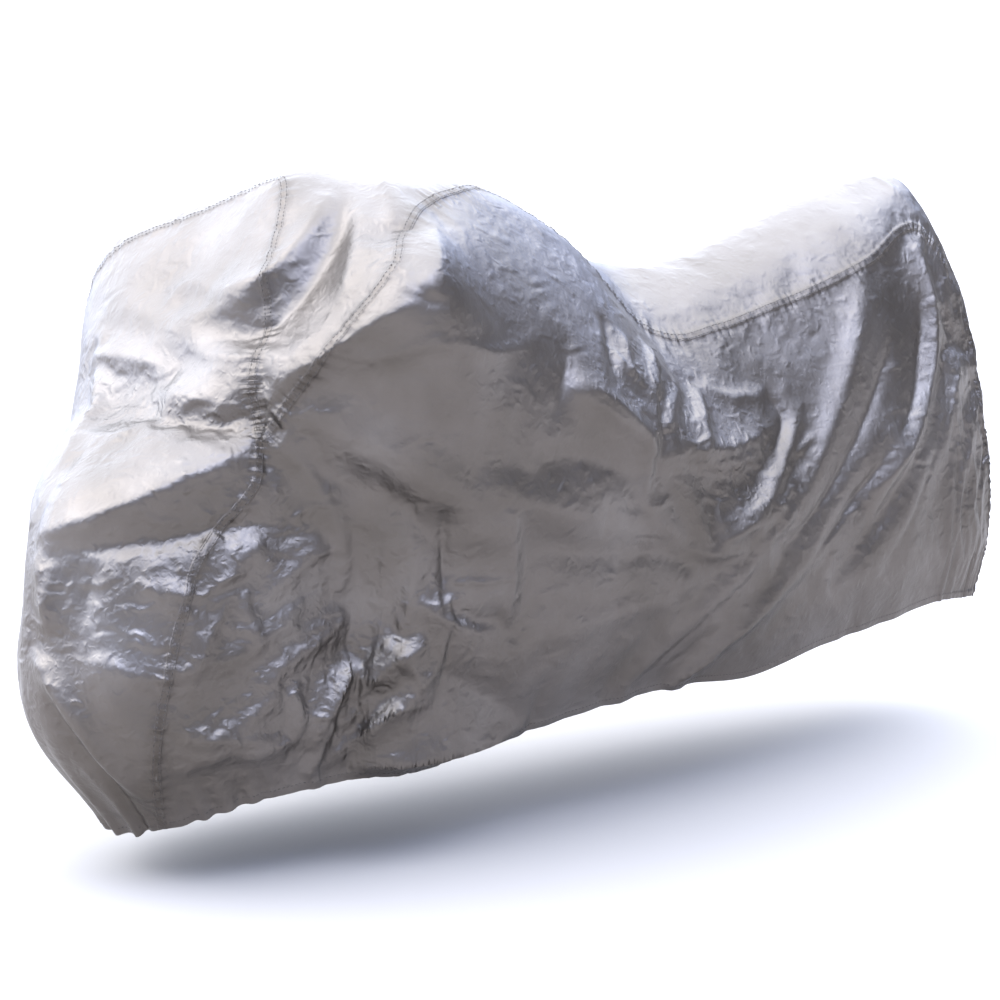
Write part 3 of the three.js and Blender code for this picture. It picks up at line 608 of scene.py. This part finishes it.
def spread_over(plan, faces, values, at):
    """Values of a net's points carried over to other places on the plan."""
    flat = [Vector((x * MM, y * MM, 0)) for x, y in plan]
    tree = bvhtree.BVHTree.FromPolygons(flat, faces.tolist())
    hits = [tree.find_nearest((x * MM, y * MM, 0)) for x, y in at]
    corners = faces[[hit[2] for hit in hits]]
    place = np.array([hit[0][:2] for hit in hits]) / MM
    a, b, c = (plan[corners[:, k]] for k in range(3))
    cross = lambda u, v: u[:, 0] * v[:, 1] - u[:, 1] * v[:, 0]
    whole = np.maximum(cross(b - a, c - a), 1e-6)
    share_b = cross(place - a, c - a) / whole
    share_c = cross(b - a, place - a) / whole
    shares = np.clip(np.stack([1 - share_b - share_c, share_b, share_c], axis=1), 0, 1)
    return np.einsum("ij,ijk->ik", shares, values[corners])


# Seams as fine lines on the plan, shared by the panels on both sides
def fine_line(places, step=SEAM_STEP):
    along, down = np.array(places, float).T
    rows = to_plan(along, down)
    runs = np.concatenate([[0], np.cumsum(np.linalg.norm(np.diff(rows, axis=0), axis=1))])
    steps = round(runs[-1] / (step / MM))
    return curve_at(runs, rows, curve_slopes(runs, rows), np.linspace(0, runs[-1], steps + 1))


def hem_line(start, end):
    if start * end < 0 and abs(start) > HALF_GIRTH / 2:
        return np.concatenate([hem_line(start, HALF_GIRTH)[:-1], hem_line(-HALF_GIRTH, end)])
    return fine_line([(along, 1) for along in np.linspace(start, end, 61)])


LINES = {name: fine_line(places) for name, places in SEAMS.items()}
near_toe, far_toe = SEAMS["near_nose"][-1][0], SEAMS["far_nose"][-1][0]
near_heel, far_heel = SEAMS["near_strip"][-1][0], SEAMS["far_strip"][-1][0]
HEMS = {
    "nose": hem_line(near_toe, far_toe),
    "near": hem_line(near_toe, near_heel),
    "far": hem_line(far_toe, far_heel),
    "rear": hem_line(near_heel, far_heel),
}


def outline_of(*lines):
    return np.concatenate([line[:-1] for line in lines])


OUTLINES = {
    "nose_panel": outline_of(
        LINES["near_nose"], HEMS["nose"], LINES["far_nose"][::-1], LINES["arch"][::-1]),
    "near_side_panel": outline_of(LINES["near_strip"], HEMS["near"][::-1], LINES["near_nose"][::-1]),
    "far_side_panel": outline_of(LINES["far_strip"], HEMS["far"][::-1], LINES["far_nose"][::-1]),
    "centre_strip": outline_of(
        LINES["arch"], LINES["far_strip"], HEMS["rear"][::-1], LINES["near_strip"][::-1]),
}

# Sewing: the band of a felled seam, its puckers and groove, its stitches, and the hem with its gathers
SEAM_BAND = 0.008
SEAM_RISE = 0.0013
SEAM_GROOVE = 0.0004
PUCKER_REACH = 0.03
PUCKER_RISE = 0.0016
PUCKER_LENGTH = 0.019
STITCH_OFFSET = 0.0048
STITCH_STEP = 0.0078
STITCH_SIZE = (0.0027, 0.0009, 0.0006)
HEM_BAND = 0.016
HEM_RISE = 0.001
HEM_STITCH = 0.0135
STITCH_SHAKE = (0.0003, 0.12)
STITCH_SEED, GATHER_SEED = 40, 20
GATHERS = [  # along from, along to, length of one gather, rise, reach up the cloth
    (-330, 190, 0.03, 0.0045, 0.1),
    (1800, 2560, 0.032, 0.004, 0.08),
]


def smooth_step(low, high, value):
    t = np.clip((value - low) / (high - low), 0, 1)
    return t * t * (3 - 2 * t)


def uneven_wave(run, length, seed):
    """A wave with uneven lengths and heights, between -1 and 1."""
    rng = np.random.default_rng(seed)
    turn = 2 * math.pi * run / length
    bend = sum(rng.uniform(0.3, 0.9) * np.sin(turn * share + rng.uniform(0, 6))
               for share in (0.13, 0.31, 0.47))
    swell = 0.7 + 0.3 * np.sin(turn * 0.21 + rng.uniform(0, 6))
    return np.sin(turn + 1.6 * bend) * swell


def along_line(line, points, reach):
    """Distance from each point to a fine line, and how far along the line that place lies."""
    distance, nearest = distance_to(line, points, reach)
    run = nearest * SEAM_STEP
    near = np.flatnonzero(distance < reach)
    for back in (0, 1):
        first = np.clip(nearest[near] - back, 0, len(line) - 2)
        step = line[first + 1] - line[first]
        offset = points[near] - line[first]
        t = np.clip(np.einsum("ij,ij->i", offset, step) / np.einsum("ij,ij->i", step, step), 0, 1)
        gap = np.linalg.norm(offset - t[:, None] * step, axis=1)
        closer = gap <= distance[near]
        distance[near[closer]] = gap[closer]
        run[near[closer]] = ((first + t) * SEAM_STEP)[closer]
    return distance, run


class Cloth:
    """The draped and crumpled surface with the sewing's relief, at any place on the plan."""

    def __init__(self):
        self.net = crumpled_net()
        self.seam_lines = {name: self.draped(line) for name, line in LINES.items()}

    def draped(self, plan):
        return to_metres(draped_surface(plan)) + spread_over(*self.net, plan)

    def sewn(self, plan, faces):
        """A panel's points with seam bands, puckers, hems and gathers, and its seam coordinates."""
        points = self.draped(plan)
        outward = mesh_outward(points, faces)
        lift = np.zeros(len(points))
        seam = np.stack([np.zeros(len(points)), np.full(len(points), 3 * PUCKER_REACH)], axis=1)
        for seed, line in enumerate(self.seam_lines.values()):
            distance, run = along_line(line, points, 3 * PUCKER_REACH)
            closer = distance < seam[:, 1]
            seam[closer] = np.stack([run + seed, distance], axis=1)[closer]
            band = 1 - smooth_step(SEAM_BAND * 0.85, SEAM_BAND * 1.35, distance)
            groove = np.exp(-((distance / 0.0022) ** 2))
            pucker = uneven_wave(run, PUCKER_LENGTH, seed) * np.exp(-((distance / PUCKER_REACH) ** 1.5))
            lift += SEAM_RISE * band - SEAM_GROOVE * groove + PUCKER_RISE * pucker
        along, down = from_plan(plan)
        up_from_hem = np.maximum(1 - down, 0) * 1.1
        lift += HEM_RISE * (1 - smooth_step(HEM_BAND * 0.9, HEM_BAND * 1.1, up_from_hem))
        for seed, (start, end, length, rise, reach) in enumerate(GATHERS):
            place = np.where(along < end - 2 * HALF_GIRTH, along + 2 * HALF_GIRTH, along)
            inside = smooth_step(start, start + 80, place) * (1 - smooth_step(end - 80, end, place))
            gather = uneven_wave(place * MM * 1.2, length, GATHER_SEED + seed)
            gather *= np.exp(-((up_from_hem / reach) ** 1.5))
            lift += rise * inside * gather
        return points + outward * lift[:, None], seam


def mesh_outward(points, faces):
    a, b, c = (points[faces[:, k]] for k in range(3))
    normal = np.cross(b - a, c - a)
    total = np.stack([sum(np.bincount(faces[:, k], normal[:, axis], len(points)) for k in range(3))
                      for axis in range(3)], axis=1)
    return total / np.maximum(np.linalg.norm(total, axis=1, keepdims=True), 1e-12)


def panel_net(outline, seed):
    """A panel's points and triangles on the plan, finer along its seams and hems."""
    rng = np.random.default_rng(seed)
    coarse = staggered_points(outline, CLOTH_STEP, rng)
    fine = staggered_points(outline, SEAM_STEP, rng)
    fine_reach, border = 0.021 / MM, 0.62 * SEAM_STEP / MM
    coarse_gap, _ = distance_to(outline, coarse, fine_reach + 1)
    coarse = coarse[coarse_gap >= fine_reach]
    fine_gap, _ = distance_to(outline, fine, fine_reach)
    fine = fine[(fine_gap < fine_reach * 0.96) & (fine_gap > border)]
    inner = np.concatenate([coarse, fine])
    return plan_net(outline, inner[inside_outline(outline, inner)])


def give_uv(mesh, name, places):
    uv = mesh.uv_layers.new(name=name)
    corner_points = np.empty(len(mesh.loops), int)
    mesh.loops.foreach_get("vertex_index", corner_points)
    uv.data.foreach_set("uv", places[corner_points].ravel())


def sheet_object(name, cloth, seed):
    plan, faces = panel_net(OUTLINES[name], seed)
    points, seam = cloth.sewn(plan, faces)
    obj = new_object(name + "_cloth", points, faces)
    obj.data.shade_smooth()
    give_uv(obj.data, "cut", plan * MM)
    give_uv(obj.data, "seam", seam)
    give_uv(obj.data, "fullness", np.repeat(fullness_at(plan)[:, None], 2, axis=1))
    solid = obj.modifiers.new("thickness", "SOLIDIFY")
    solid.thickness = CLOTH_THICKNESS
    solid.offset = -1
    apply_modifiers(obj)
    obj.data.set_sharp_from_angle(angle=math.radians(RIM_ANGLE))
    return obj


def apply_modifiers(obj):
    depsgraph = bpy.context.evaluated_depsgraph_get()
    mesh = bpy.data.meshes.new_from_object(obj.evaluated_get(depsgraph), depsgraph=depsgraph)
    mesh.name = obj.name
    obj.modifiers.clear()
    old, obj.data = obj.data, mesh
    bpy.data.meshes.remove(old)


def srgb(text):
    parts = [int(text[i:i + 2], 16) / 255 for i in (0, 2, 4)]
    return (*[c / 12.92 if c <= 0.04045 else ((c + 0.055) / 1.055) ** 2.4 for c in parts], 1)


def add_node(tree, kind, links=None, **settings):
    """Adds a node, sets its properties or sockets by name, and links the given sockets."""
    node = tree.nodes.new(kind)
    for key, value in settings.items():
        if hasattr(node, key):
            setattr(node, key, value)
        else:
            node.inputs[key.replace("_", " ")].default_value = value
    for key, source in (links or {}).items():
        tree.links.new(source, node.inputs[key])
    return node


def new_material(name):
    material = bpy.data.materials.new(name)
    material.use_nodes = True
    material.node_tree.nodes.clear()
    return material, material.node_tree


def math_node(tree, operation, first, second, clamp=False):
    node = add_node(tree, "ShaderNodeMath", operation=operation, use_clamp=clamp)
    for i, value in enumerate((first, second)):
        if isinstance(value, (int, float)):
            node.inputs[i].default_value = value
        else:
            tree.links.new(value, node.inputs[i])
    return node.outputs["Value"]


def ramp(tree, value, stops):
    """A colour ramp; each stop is a position and an sRGB hex colour or a grey from 0 to 1."""
    node = add_node(tree, "ShaderNodeValToRGB", {"Fac": value})
    elements = node.color_ramp.elements
    while len(elements) < len(stops):
        elements.new(0.5)
    for element, (position, tone) in zip(elements, stops):
        element.position = position
        element.color = srgb(tone) if isinstance(tone, str) else (tone, tone, tone, 1)
    return node.outputs["Color"]


def bump(tree, height, distance, strength, under=None):
    links = {"Height": height, **({"Normal": under} if under else {})}
    return add_node(tree, "ShaderNodeBump", links, Distance=distance, Strength=strength).outputs["Normal"]


SEAM_PROFILE = [  # share of 20 mm from the seam, height
    (0, 0.7), (0.06, 0.8), (0.21, 0.8), (0.24, 0.35), (0.27, 0.8), (0.38, 0.75), (0.43, 0)]


def silver_taffeta():
    """Silver coated polyester taffeta, woven and then coated: a thin crisp cloth with a soft metal sheen.

    The coating's flakes give the sheen and the crumpling gives fine creases. The real weave has a thread
    about every 0.25 mm, too fine to show, so it is drawn coarser, as a faint grain of 1.2 mm.
    """
    material, tree = new_material("silver coated polyester taffeta")
    place = add_node(tree, "ShaderNodeTexCoord").outputs["Object"]
    cut = add_node(tree, "ShaderNodeUVMap", uv_map="cut").outputs["UV"]
    seam = add_node(tree, "ShaderNodeUVMap", uv_map="seam").outputs["UV"]
    seam_split = add_node(tree, "ShaderNodeSeparateXYZ", {"Vector": seam})
    from_seam = seam_split.outputs["Y"]
    near_seam = math_node(tree, "SUBTRACT", 1, math_node(tree, "MULTIPLY", from_seam, 30, clamp=True))

    patches = add_node(tree, "ShaderNodeTexNoise", {"Vector": place}, Scale=PATCH_SCALE, Detail=5.0)
    cloth_tone = ramp(tree, patches.outputs["Fac"], CLOTH_TONES)
    # Painted shade: near the seams the cloth tone is multiplied darker in noisy patches, partly as grime and
    # partly as painted shade along the seam lines
    grime_and_shade_patches = add_node(tree, "ShaderNodeTexNoise", {"Vector": place}, Scale=60.0, Detail=4.0).outputs["Fac"]
    grime_and_shade_near_seam = math_node(tree, "MULTIPLY", grime_and_shade_patches, math_node(tree, "POWER", near_seam, 2.5))
    tone = add_node(tree, "ShaderNodeMix", data_type="RGBA", blend_type="MULTIPLY")
    tree.links.new(grime_and_shade_near_seam, tone.inputs["Factor"])
    tree.links.new(cloth_tone, tone.inputs[6])
    tone.inputs[7].default_value = srgb(SEAM_GRIME_AND_SHADE)
    from_scuff = add_node(tree, "ShaderNodeVectorMath", {0: cut}, operation="DISTANCE")
    from_scuff.inputs[1].default_value = (*to_plan(*np.array([SCUFF]).T)[0] * MM, 0)
    scuff_share = math_node(tree, "DIVIDE", from_scuff.outputs["Value"], SCUFF_REACH, clamp=True)
    scuffed = add_node(tree, "ShaderNodeMix", data_type="RGBA", blend_type="MULTIPLY")
    scuffed.inputs["Factor"].default_value = 1
    tree.links.new(tone.outputs[2], scuffed.inputs[6])
    tree.links.new(ramp(tree, scuff_share, SCUFF_TONES), scuffed.inputs[7])
    rub = add_node(tree, "ShaderNodeTexNoise", {"Vector": place}, Scale=24.0, Detail=6.0).outputs["Fac"]
    gloss = add_node(tree, "ShaderNodeMapRange", {"Value": rub})
    gloss.inputs["To Min"].default_value, gloss.inputs["To Max"].default_value = CLOTH_ROUGHNESS

    pucker_place = add_node(tree, "ShaderNodeMapping", {"Vector": seam}, Scale=PUCKER_SCALE)
    puckers = add_node(tree, "ShaderNodeTexNoise", {"Vector": pucker_place.outputs["Vector"]},
                       Scale=1.0, Detail=2.0).outputs["Fac"]
    puckers = math_node(tree, "MULTIPLY", puckers, math_node(tree, "POWER", near_seam, 1.5))
    profile = ramp(tree, math_node(tree, "MULTIPLY", from_seam, 50, clamp=True), SEAM_PROFILE)
    warp, weft = (add_node(tree, "ShaderNodeTexWave", {"Vector": cut}, bands_direction=way,
                           Scale=WEAVE_SCALE, Distortion=0.4) for way in "XY")
    weave = math_node(tree, "ADD", warp.outputs["Fac"], weft.outputs["Fac"])
    full = add_node(tree, "ShaderNodeUVMap", uv_map="fullness").outputs["UV"]
    full = add_node(tree, "ShaderNodeSeparateXYZ", {"Vector": full}).outputs["X"]
    crease_share = math_node(tree, "MULTIPLY_ADD", full, 1 - SMOOTH_CREASE_SHARE)
    crease_share.node.inputs[2].default_value = SMOOTH_CREASE_SHARE
    normal = None
    for stretch, scale, distance, strength in CREASE_BUMPS:
        stretched = add_node(tree, "ShaderNodeMapping", {"Vector": place}, Scale=stretch).outputs["Vector"]
        lines = add_node(tree, "ShaderNodeTexNoise", {"Vector": stretched}, noise_type="RIDGED_MULTIFRACTAL",
                         Scale=scale, Detail=3.0, Roughness=0.5, Distortion=0.4).outputs["Fac"]
        normal = bump(tree, math_node(tree, "MULTIPLY", lines, crease_share), distance, strength, normal)
    normal = bump(tree, puckers, 0.004, 0.8, normal)
    normal = bump(tree, profile, 0.0009, 0.8, normal)
    normal = bump(tree, weave, 0.0003, 0.15, normal)
    shader = add_node(tree, "ShaderNodeBsdfPrincipled", {
        "Base Color": scuffed.outputs[2], "Roughness": gloss.outputs["Result"], "Normal": normal,
    }, Metallic=CLOTH_METALLIC)
    add_node(tree, "ShaderNodeOutputMaterial", {"Surface": shader.outputs["BSDF"]})
    return material


def sewing_thread():
    """Grey polyester thread, twisted: dull, with an uneven tone."""
    material, tree = new_material("grey polyester sewing thread")
    place = add_node(tree, "ShaderNodeTexCoord").outputs["Object"]
    uneven = add_node(tree, "ShaderNodeTexNoise", {"Vector": place}, Scale=140.0, Detail=2.0).outputs["Fac"]
    tone = ramp(tree, uneven, THREAD_TONES)
    twist = add_node(tree, "ShaderNodeTexWave", {"Vector": place}, bands_direction="DIAGONAL", Scale=420.0)
    normal = bump(tree, twist.outputs["Fac"], 0.0002, 0.5)
    shader = add_node(tree, "ShaderNodeBsdfPrincipled", {"Base Color": tone, "Normal": normal}, Roughness=0.7)
    add_node(tree, "ShaderNodeOutputMaterial", {"Surface": shader.outputs["BSDF"]})
    return material


def pale_floor():
    """A plain matt floor, warm enough to come out white under the blue sky."""
    material, tree = new_material("pale studio floor")
    shader = add_node(tree, "ShaderNodeBsdfPrincipled", Base_Color=srgb(FLOOR_TONE), Roughness=0.8)
    add_node(tree, "ShaderNodeOutputMaterial", {"Surface": shader.outputs["BSDF"]})
    return material


def stitch_rows(panel, cloth, piece, seed):
    """Places and turns of a panel's stitches, in one row along each seam and one along the hem."""
    rng = np.random.default_rng(seed)
    shake_place, shake_turn = STITCH_SHAKE
    data = piece.data
    tree = bvhtree.BVHTree.FromPolygons([v.co for v in data.vertices], [p.vertices for p in data.polygons])
    places, turns = [], []
    for line, offset in [*((LINES[name], STITCH_OFFSET) for name in PANEL_SEAMS[panel]),
                         (HEMS[PANEL_HEM[panel]], HEM_STITCH)]:
        step = np.gradient(line, axis=0)
        inward = np.stack([-step[:, 1], step[:, 0]], axis=1)
        inward *= offset / MM / np.linalg.norm(inward, axis=1, keepdims=True)
        facing = 1 if inside_outline(OUTLINES[panel], line + inward).mean() > 0.5 else -1
        base = cloth.draped(line)
        across = cloth.draped(line + facing * inward) - base
        along = np.gradient(base, axis=0)
        along /= np.linalg.norm(along, axis=1, keepdims=True)
        across -= np.einsum("ij,ij->i", across, along)[:, None] * along
        across /= np.linalg.norm(across, axis=1, keepdims=True)
        outward = facing * np.cross(along, across)
        row = base + across * offset
        run = np.concatenate([[0], np.cumsum(np.linalg.norm(np.diff(row, axis=0), axis=1))])
        stops = np.arange(STITCH_STEP, run[-1] - STITCH_STEP, STITCH_STEP)
        stops = stops + rng.uniform(-shake_place, shake_place, len(stops))
        on_row = lambda rows: np.stack([np.interp(stops, run, rows[:, axis]) for axis in range(3)], axis=1)
        for place, heading, lift in zip(on_row(row), on_row(along), on_row(outward)):
            spot, normal, *_ = tree.find_nearest(Vector(place + lift * 0.003))
            if normal.dot(Vector(lift)) < 0:
                normal = -normal
            heading = Vector(heading) - normal * normal.dot(Vector(heading))
            heading = heading.normalized()
            side = normal.cross(heading)
            heading = (heading + side * rng.uniform(-shake_turn, shake_turn)).normalized()
            side = normal.cross(heading)
            places.append(spot)
            turns.append(Matrix((heading, side, normal)).transposed().to_euler())
    return places, turns


def stitch_nodes(thread):
    """Geometry nodes that set one thread stitch on every point of a mesh."""
    tree = bpy.data.node_groups.new("stitches", "GeometryNodeTree")
    tree.interface.new_socket("Geometry", in_out="INPUT", socket_type="NodeSocketGeometry")
    tree.interface.new_socket("Geometry", in_out="OUTPUT", socket_type="NodeSocketGeometry")
    points = add_node(tree, "NodeGroupInput").outputs["Geometry"]
    bead = add_node(tree, "GeometryNodeMeshIcoSphere", Radius=1.0, Subdivisions=1).outputs["Mesh"]
    stitch = add_node(tree, "GeometryNodeTransform", {"Geometry": bead}, Scale=STITCH_SIZE)
    turn = add_node(tree, "GeometryNodeInputNamedAttribute", data_type="FLOAT_VECTOR", Name="turn")
    placed = add_node(tree, "GeometryNodeInstanceOnPoints",
                      {"Points": points, "Instance": stitch.outputs["Geometry"],
                       "Rotation": turn.outputs["Attribute"]})
    real = add_node(tree, "GeometryNodeRealizeInstances", {"Geometry": placed.outputs["Instances"]})
    round_off = add_node(tree, "GeometryNodeSetShadeSmooth", {"Geometry": real.outputs["Geometry"]})
    dyed = add_node(tree, "GeometryNodeSetMaterial", {"Geometry": round_off.outputs["Geometry"]},
                    Material=thread)
    add_node(tree, "NodeGroupOutput", {"Geometry": dyed.outputs["Geometry"]})
    return tree


def stitches_object(panel, cloth, piece, nodes, seed):
    places, turns = stitch_rows(panel, cloth, piece, seed)
    obj = new_object(panel + "_stitches", np.array(places), np.empty((0, 3), int))
    turn = obj.data.attributes.new("turn", "FLOAT_VECTOR", "POINT")
    turn.data.foreach_set("vector", np.array(turns).ravel())
    obj.modifiers.new("stitches", "NODES").node_group = nodes
    apply_modifiers(obj)
    return obj


PIECES = ("nose_panel", "near_side_panel", "far_side_panel", "centre_strip")
PANEL_SEAMS = {
    "nose_panel": ("arch", "near_nose", "far_nose"),
    "near_side_panel": ("near_strip", "near_nose"),
    "far_side_panel": ("far_strip", "far_nose"),
    "centre_strip": ("arch", "near_strip", "far_strip"),
}
PANEL_HEM = {
    "nose_panel": "nose",
    "near_side_panel": "near",
    "far_side_panel": "far",
    "centre_strip": "rear",
}
CLOTH_TONES = [(0.3, "605a54"), (0.52, "6b6560"), (0.75, "797470")]
THREAD_TONES = [(0.3, "37332f"), (0.7, "58524c")]
CLOTH_ROUGHNESS = (0.33, 0.46)
CLOTH_METALLIC = 0.85
PATCH_SCALE = 5.0
# Tone multiplied in near the seams: partly grime, partly painted shade along the seam lines
SEAM_GRIME_AND_SHADE = "beb8b2"
PUCKER_SCALE = (95, 16, 1)
WEAVE_SCALE = 260.0
SCUFF = (1060, 0.92)  # along, down
SCUFF_REACH = 0.011
SCUFF_TONES = [(0.35, 0.15), (0.8, 1.0)]
SMOOTH_CREASE_SHARE = 0.2
CREASE_BUMPS = [  # stretch, scale, distance, strength
    ((1, 1, 1.5), 19.0, 0.016, 0.7),
    ((1, 1, 1), 48.0, 0.007, 0.8),
    ((1, 1, 1), 110.0, 0.0025, 0.7),
]
FLOOR_TONE = "9b9691"
FLOOR_REACH = 160
SKY_FROM = (-0.1, 0.4, 0.91)
SKY_SPAN = (0, 0.55)
SKY_TONES = [(0, "23201d"), (0.43, "444448"), (0.7, "8fa2d0"), (0.9, "e8f0ff")]
SKY_STRENGTH = 6
SUNS = [  # from, strength, width in degrees, tone
    ((-0.5, 0.4, 0.77), 1.2, 40, "ffffff"),
    ((-0.1, -0.7, 0.7), 1.6, 50, "c6d6ff"),
    ((0.3, -0.7, 0.65), 0.9, 40, "d6e2ff"),
]
GROUND = -ORIGIN[2] * MM
CAMERA_PLACE = (-3.4315, -4.4191, 0.3621)
CAMERA_RIGHT = (0.7614, -0.6483, 0)
CAMERA_FORWARD = (0.6396, 0.7512, -0.163)
CAMERA_LENS, CAMERA_SENSOR = 120.24, 36


def make_cover():
    cloth = Cloth()
    taffeta = silver_taffeta()
    nodes = stitch_nodes(sewing_thread())
    for seed, name in enumerate(PIECES):
        piece = sheet_object(name, cloth, seed)
        piece.data.materials.clear()
        piece.data.materials.append(taffeta)
        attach(piece, "root")
        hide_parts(name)
        stitches = stitches_object(name, cloth, piece, nodes, STITCH_SEED + seed)
        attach(stitches, "root")


def make_stage():
    corners = [(x, y, GROUND) for x, y in ((-1, -1), (1, -1), (1, 1), (-1, 1))]
    floor = new_object("floor", np.array(corners) * (FLOOR_REACH, FLOOR_REACH, 1), np.array([(0, 1, 2, 3)]))
    floor.data.materials.append(pale_floor())


def make_light():
    """A bright soft sky behind and above, a dim room in front, and three broad soft suns."""
    world = bpy.data.worlds.new("studio")
    world.use_nodes = True
    tree = world.node_tree
    way = add_node(tree, "ShaderNodeTexCoord").outputs["Generated"]
    facing = add_node(tree, "ShaderNodeVectorMath", {0: way}, operation="DOT_PRODUCT")
    facing.inputs[1].default_value = SKY_FROM
    share = add_node(tree, "ShaderNodeMapRange", {"Value": facing.outputs["Value"]})
    share.inputs["From Min"].default_value, share.inputs["From Max"].default_value = SKY_SPAN
    sky = ramp(tree, share.outputs["Result"], SKY_TONES)
    background = tree.nodes["Background"]
    background.inputs["Strength"].default_value = SKY_STRENGTH
    tree.links.new(sky, background.inputs["Color"])
    bpy.context.scene.world = world
    for number, (source, strength, width, tone) in enumerate(SUNS):
        sun = bpy.data.lights.new(f"sun_{number}", "SUN")
        sun.energy = strength
        sun.angle = math.radians(width)
        sun.color = srgb(tone)[:3]
        obj = bpy.data.objects.new(sun.name, sun)
        obj.matrix_world = Vector(source).to_track_quat("Z", "Y").to_matrix().to_4x4()
        bpy.context.scene.collection.objects.link(obj)


def make_camera():
    camera = bpy.data.cameras.new("camera")
    camera.sensor_width = CAMERA_SENSOR
    camera.lens = CAMERA_LENS
    obj = bpy.data.objects.new("camera", camera)
    right = Vector(CAMERA_RIGHT).normalized()
    forward = Vector(CAMERA_FORWARD).normalized()
    up = right.cross(forward)
    turn = Matrix((right, up, -forward)).transposed().to_4x4()
    obj.matrix_world = Matrix.Translation(CAMERA_PLACE) @ turn
    bpy.context.scene.collection.objects.link(obj)
    bpy.context.scene.camera = obj


make_cover()
make_stage()
make_light()
make_camera()
bpy.context.scene.view_settings.view_transform = "Standard"
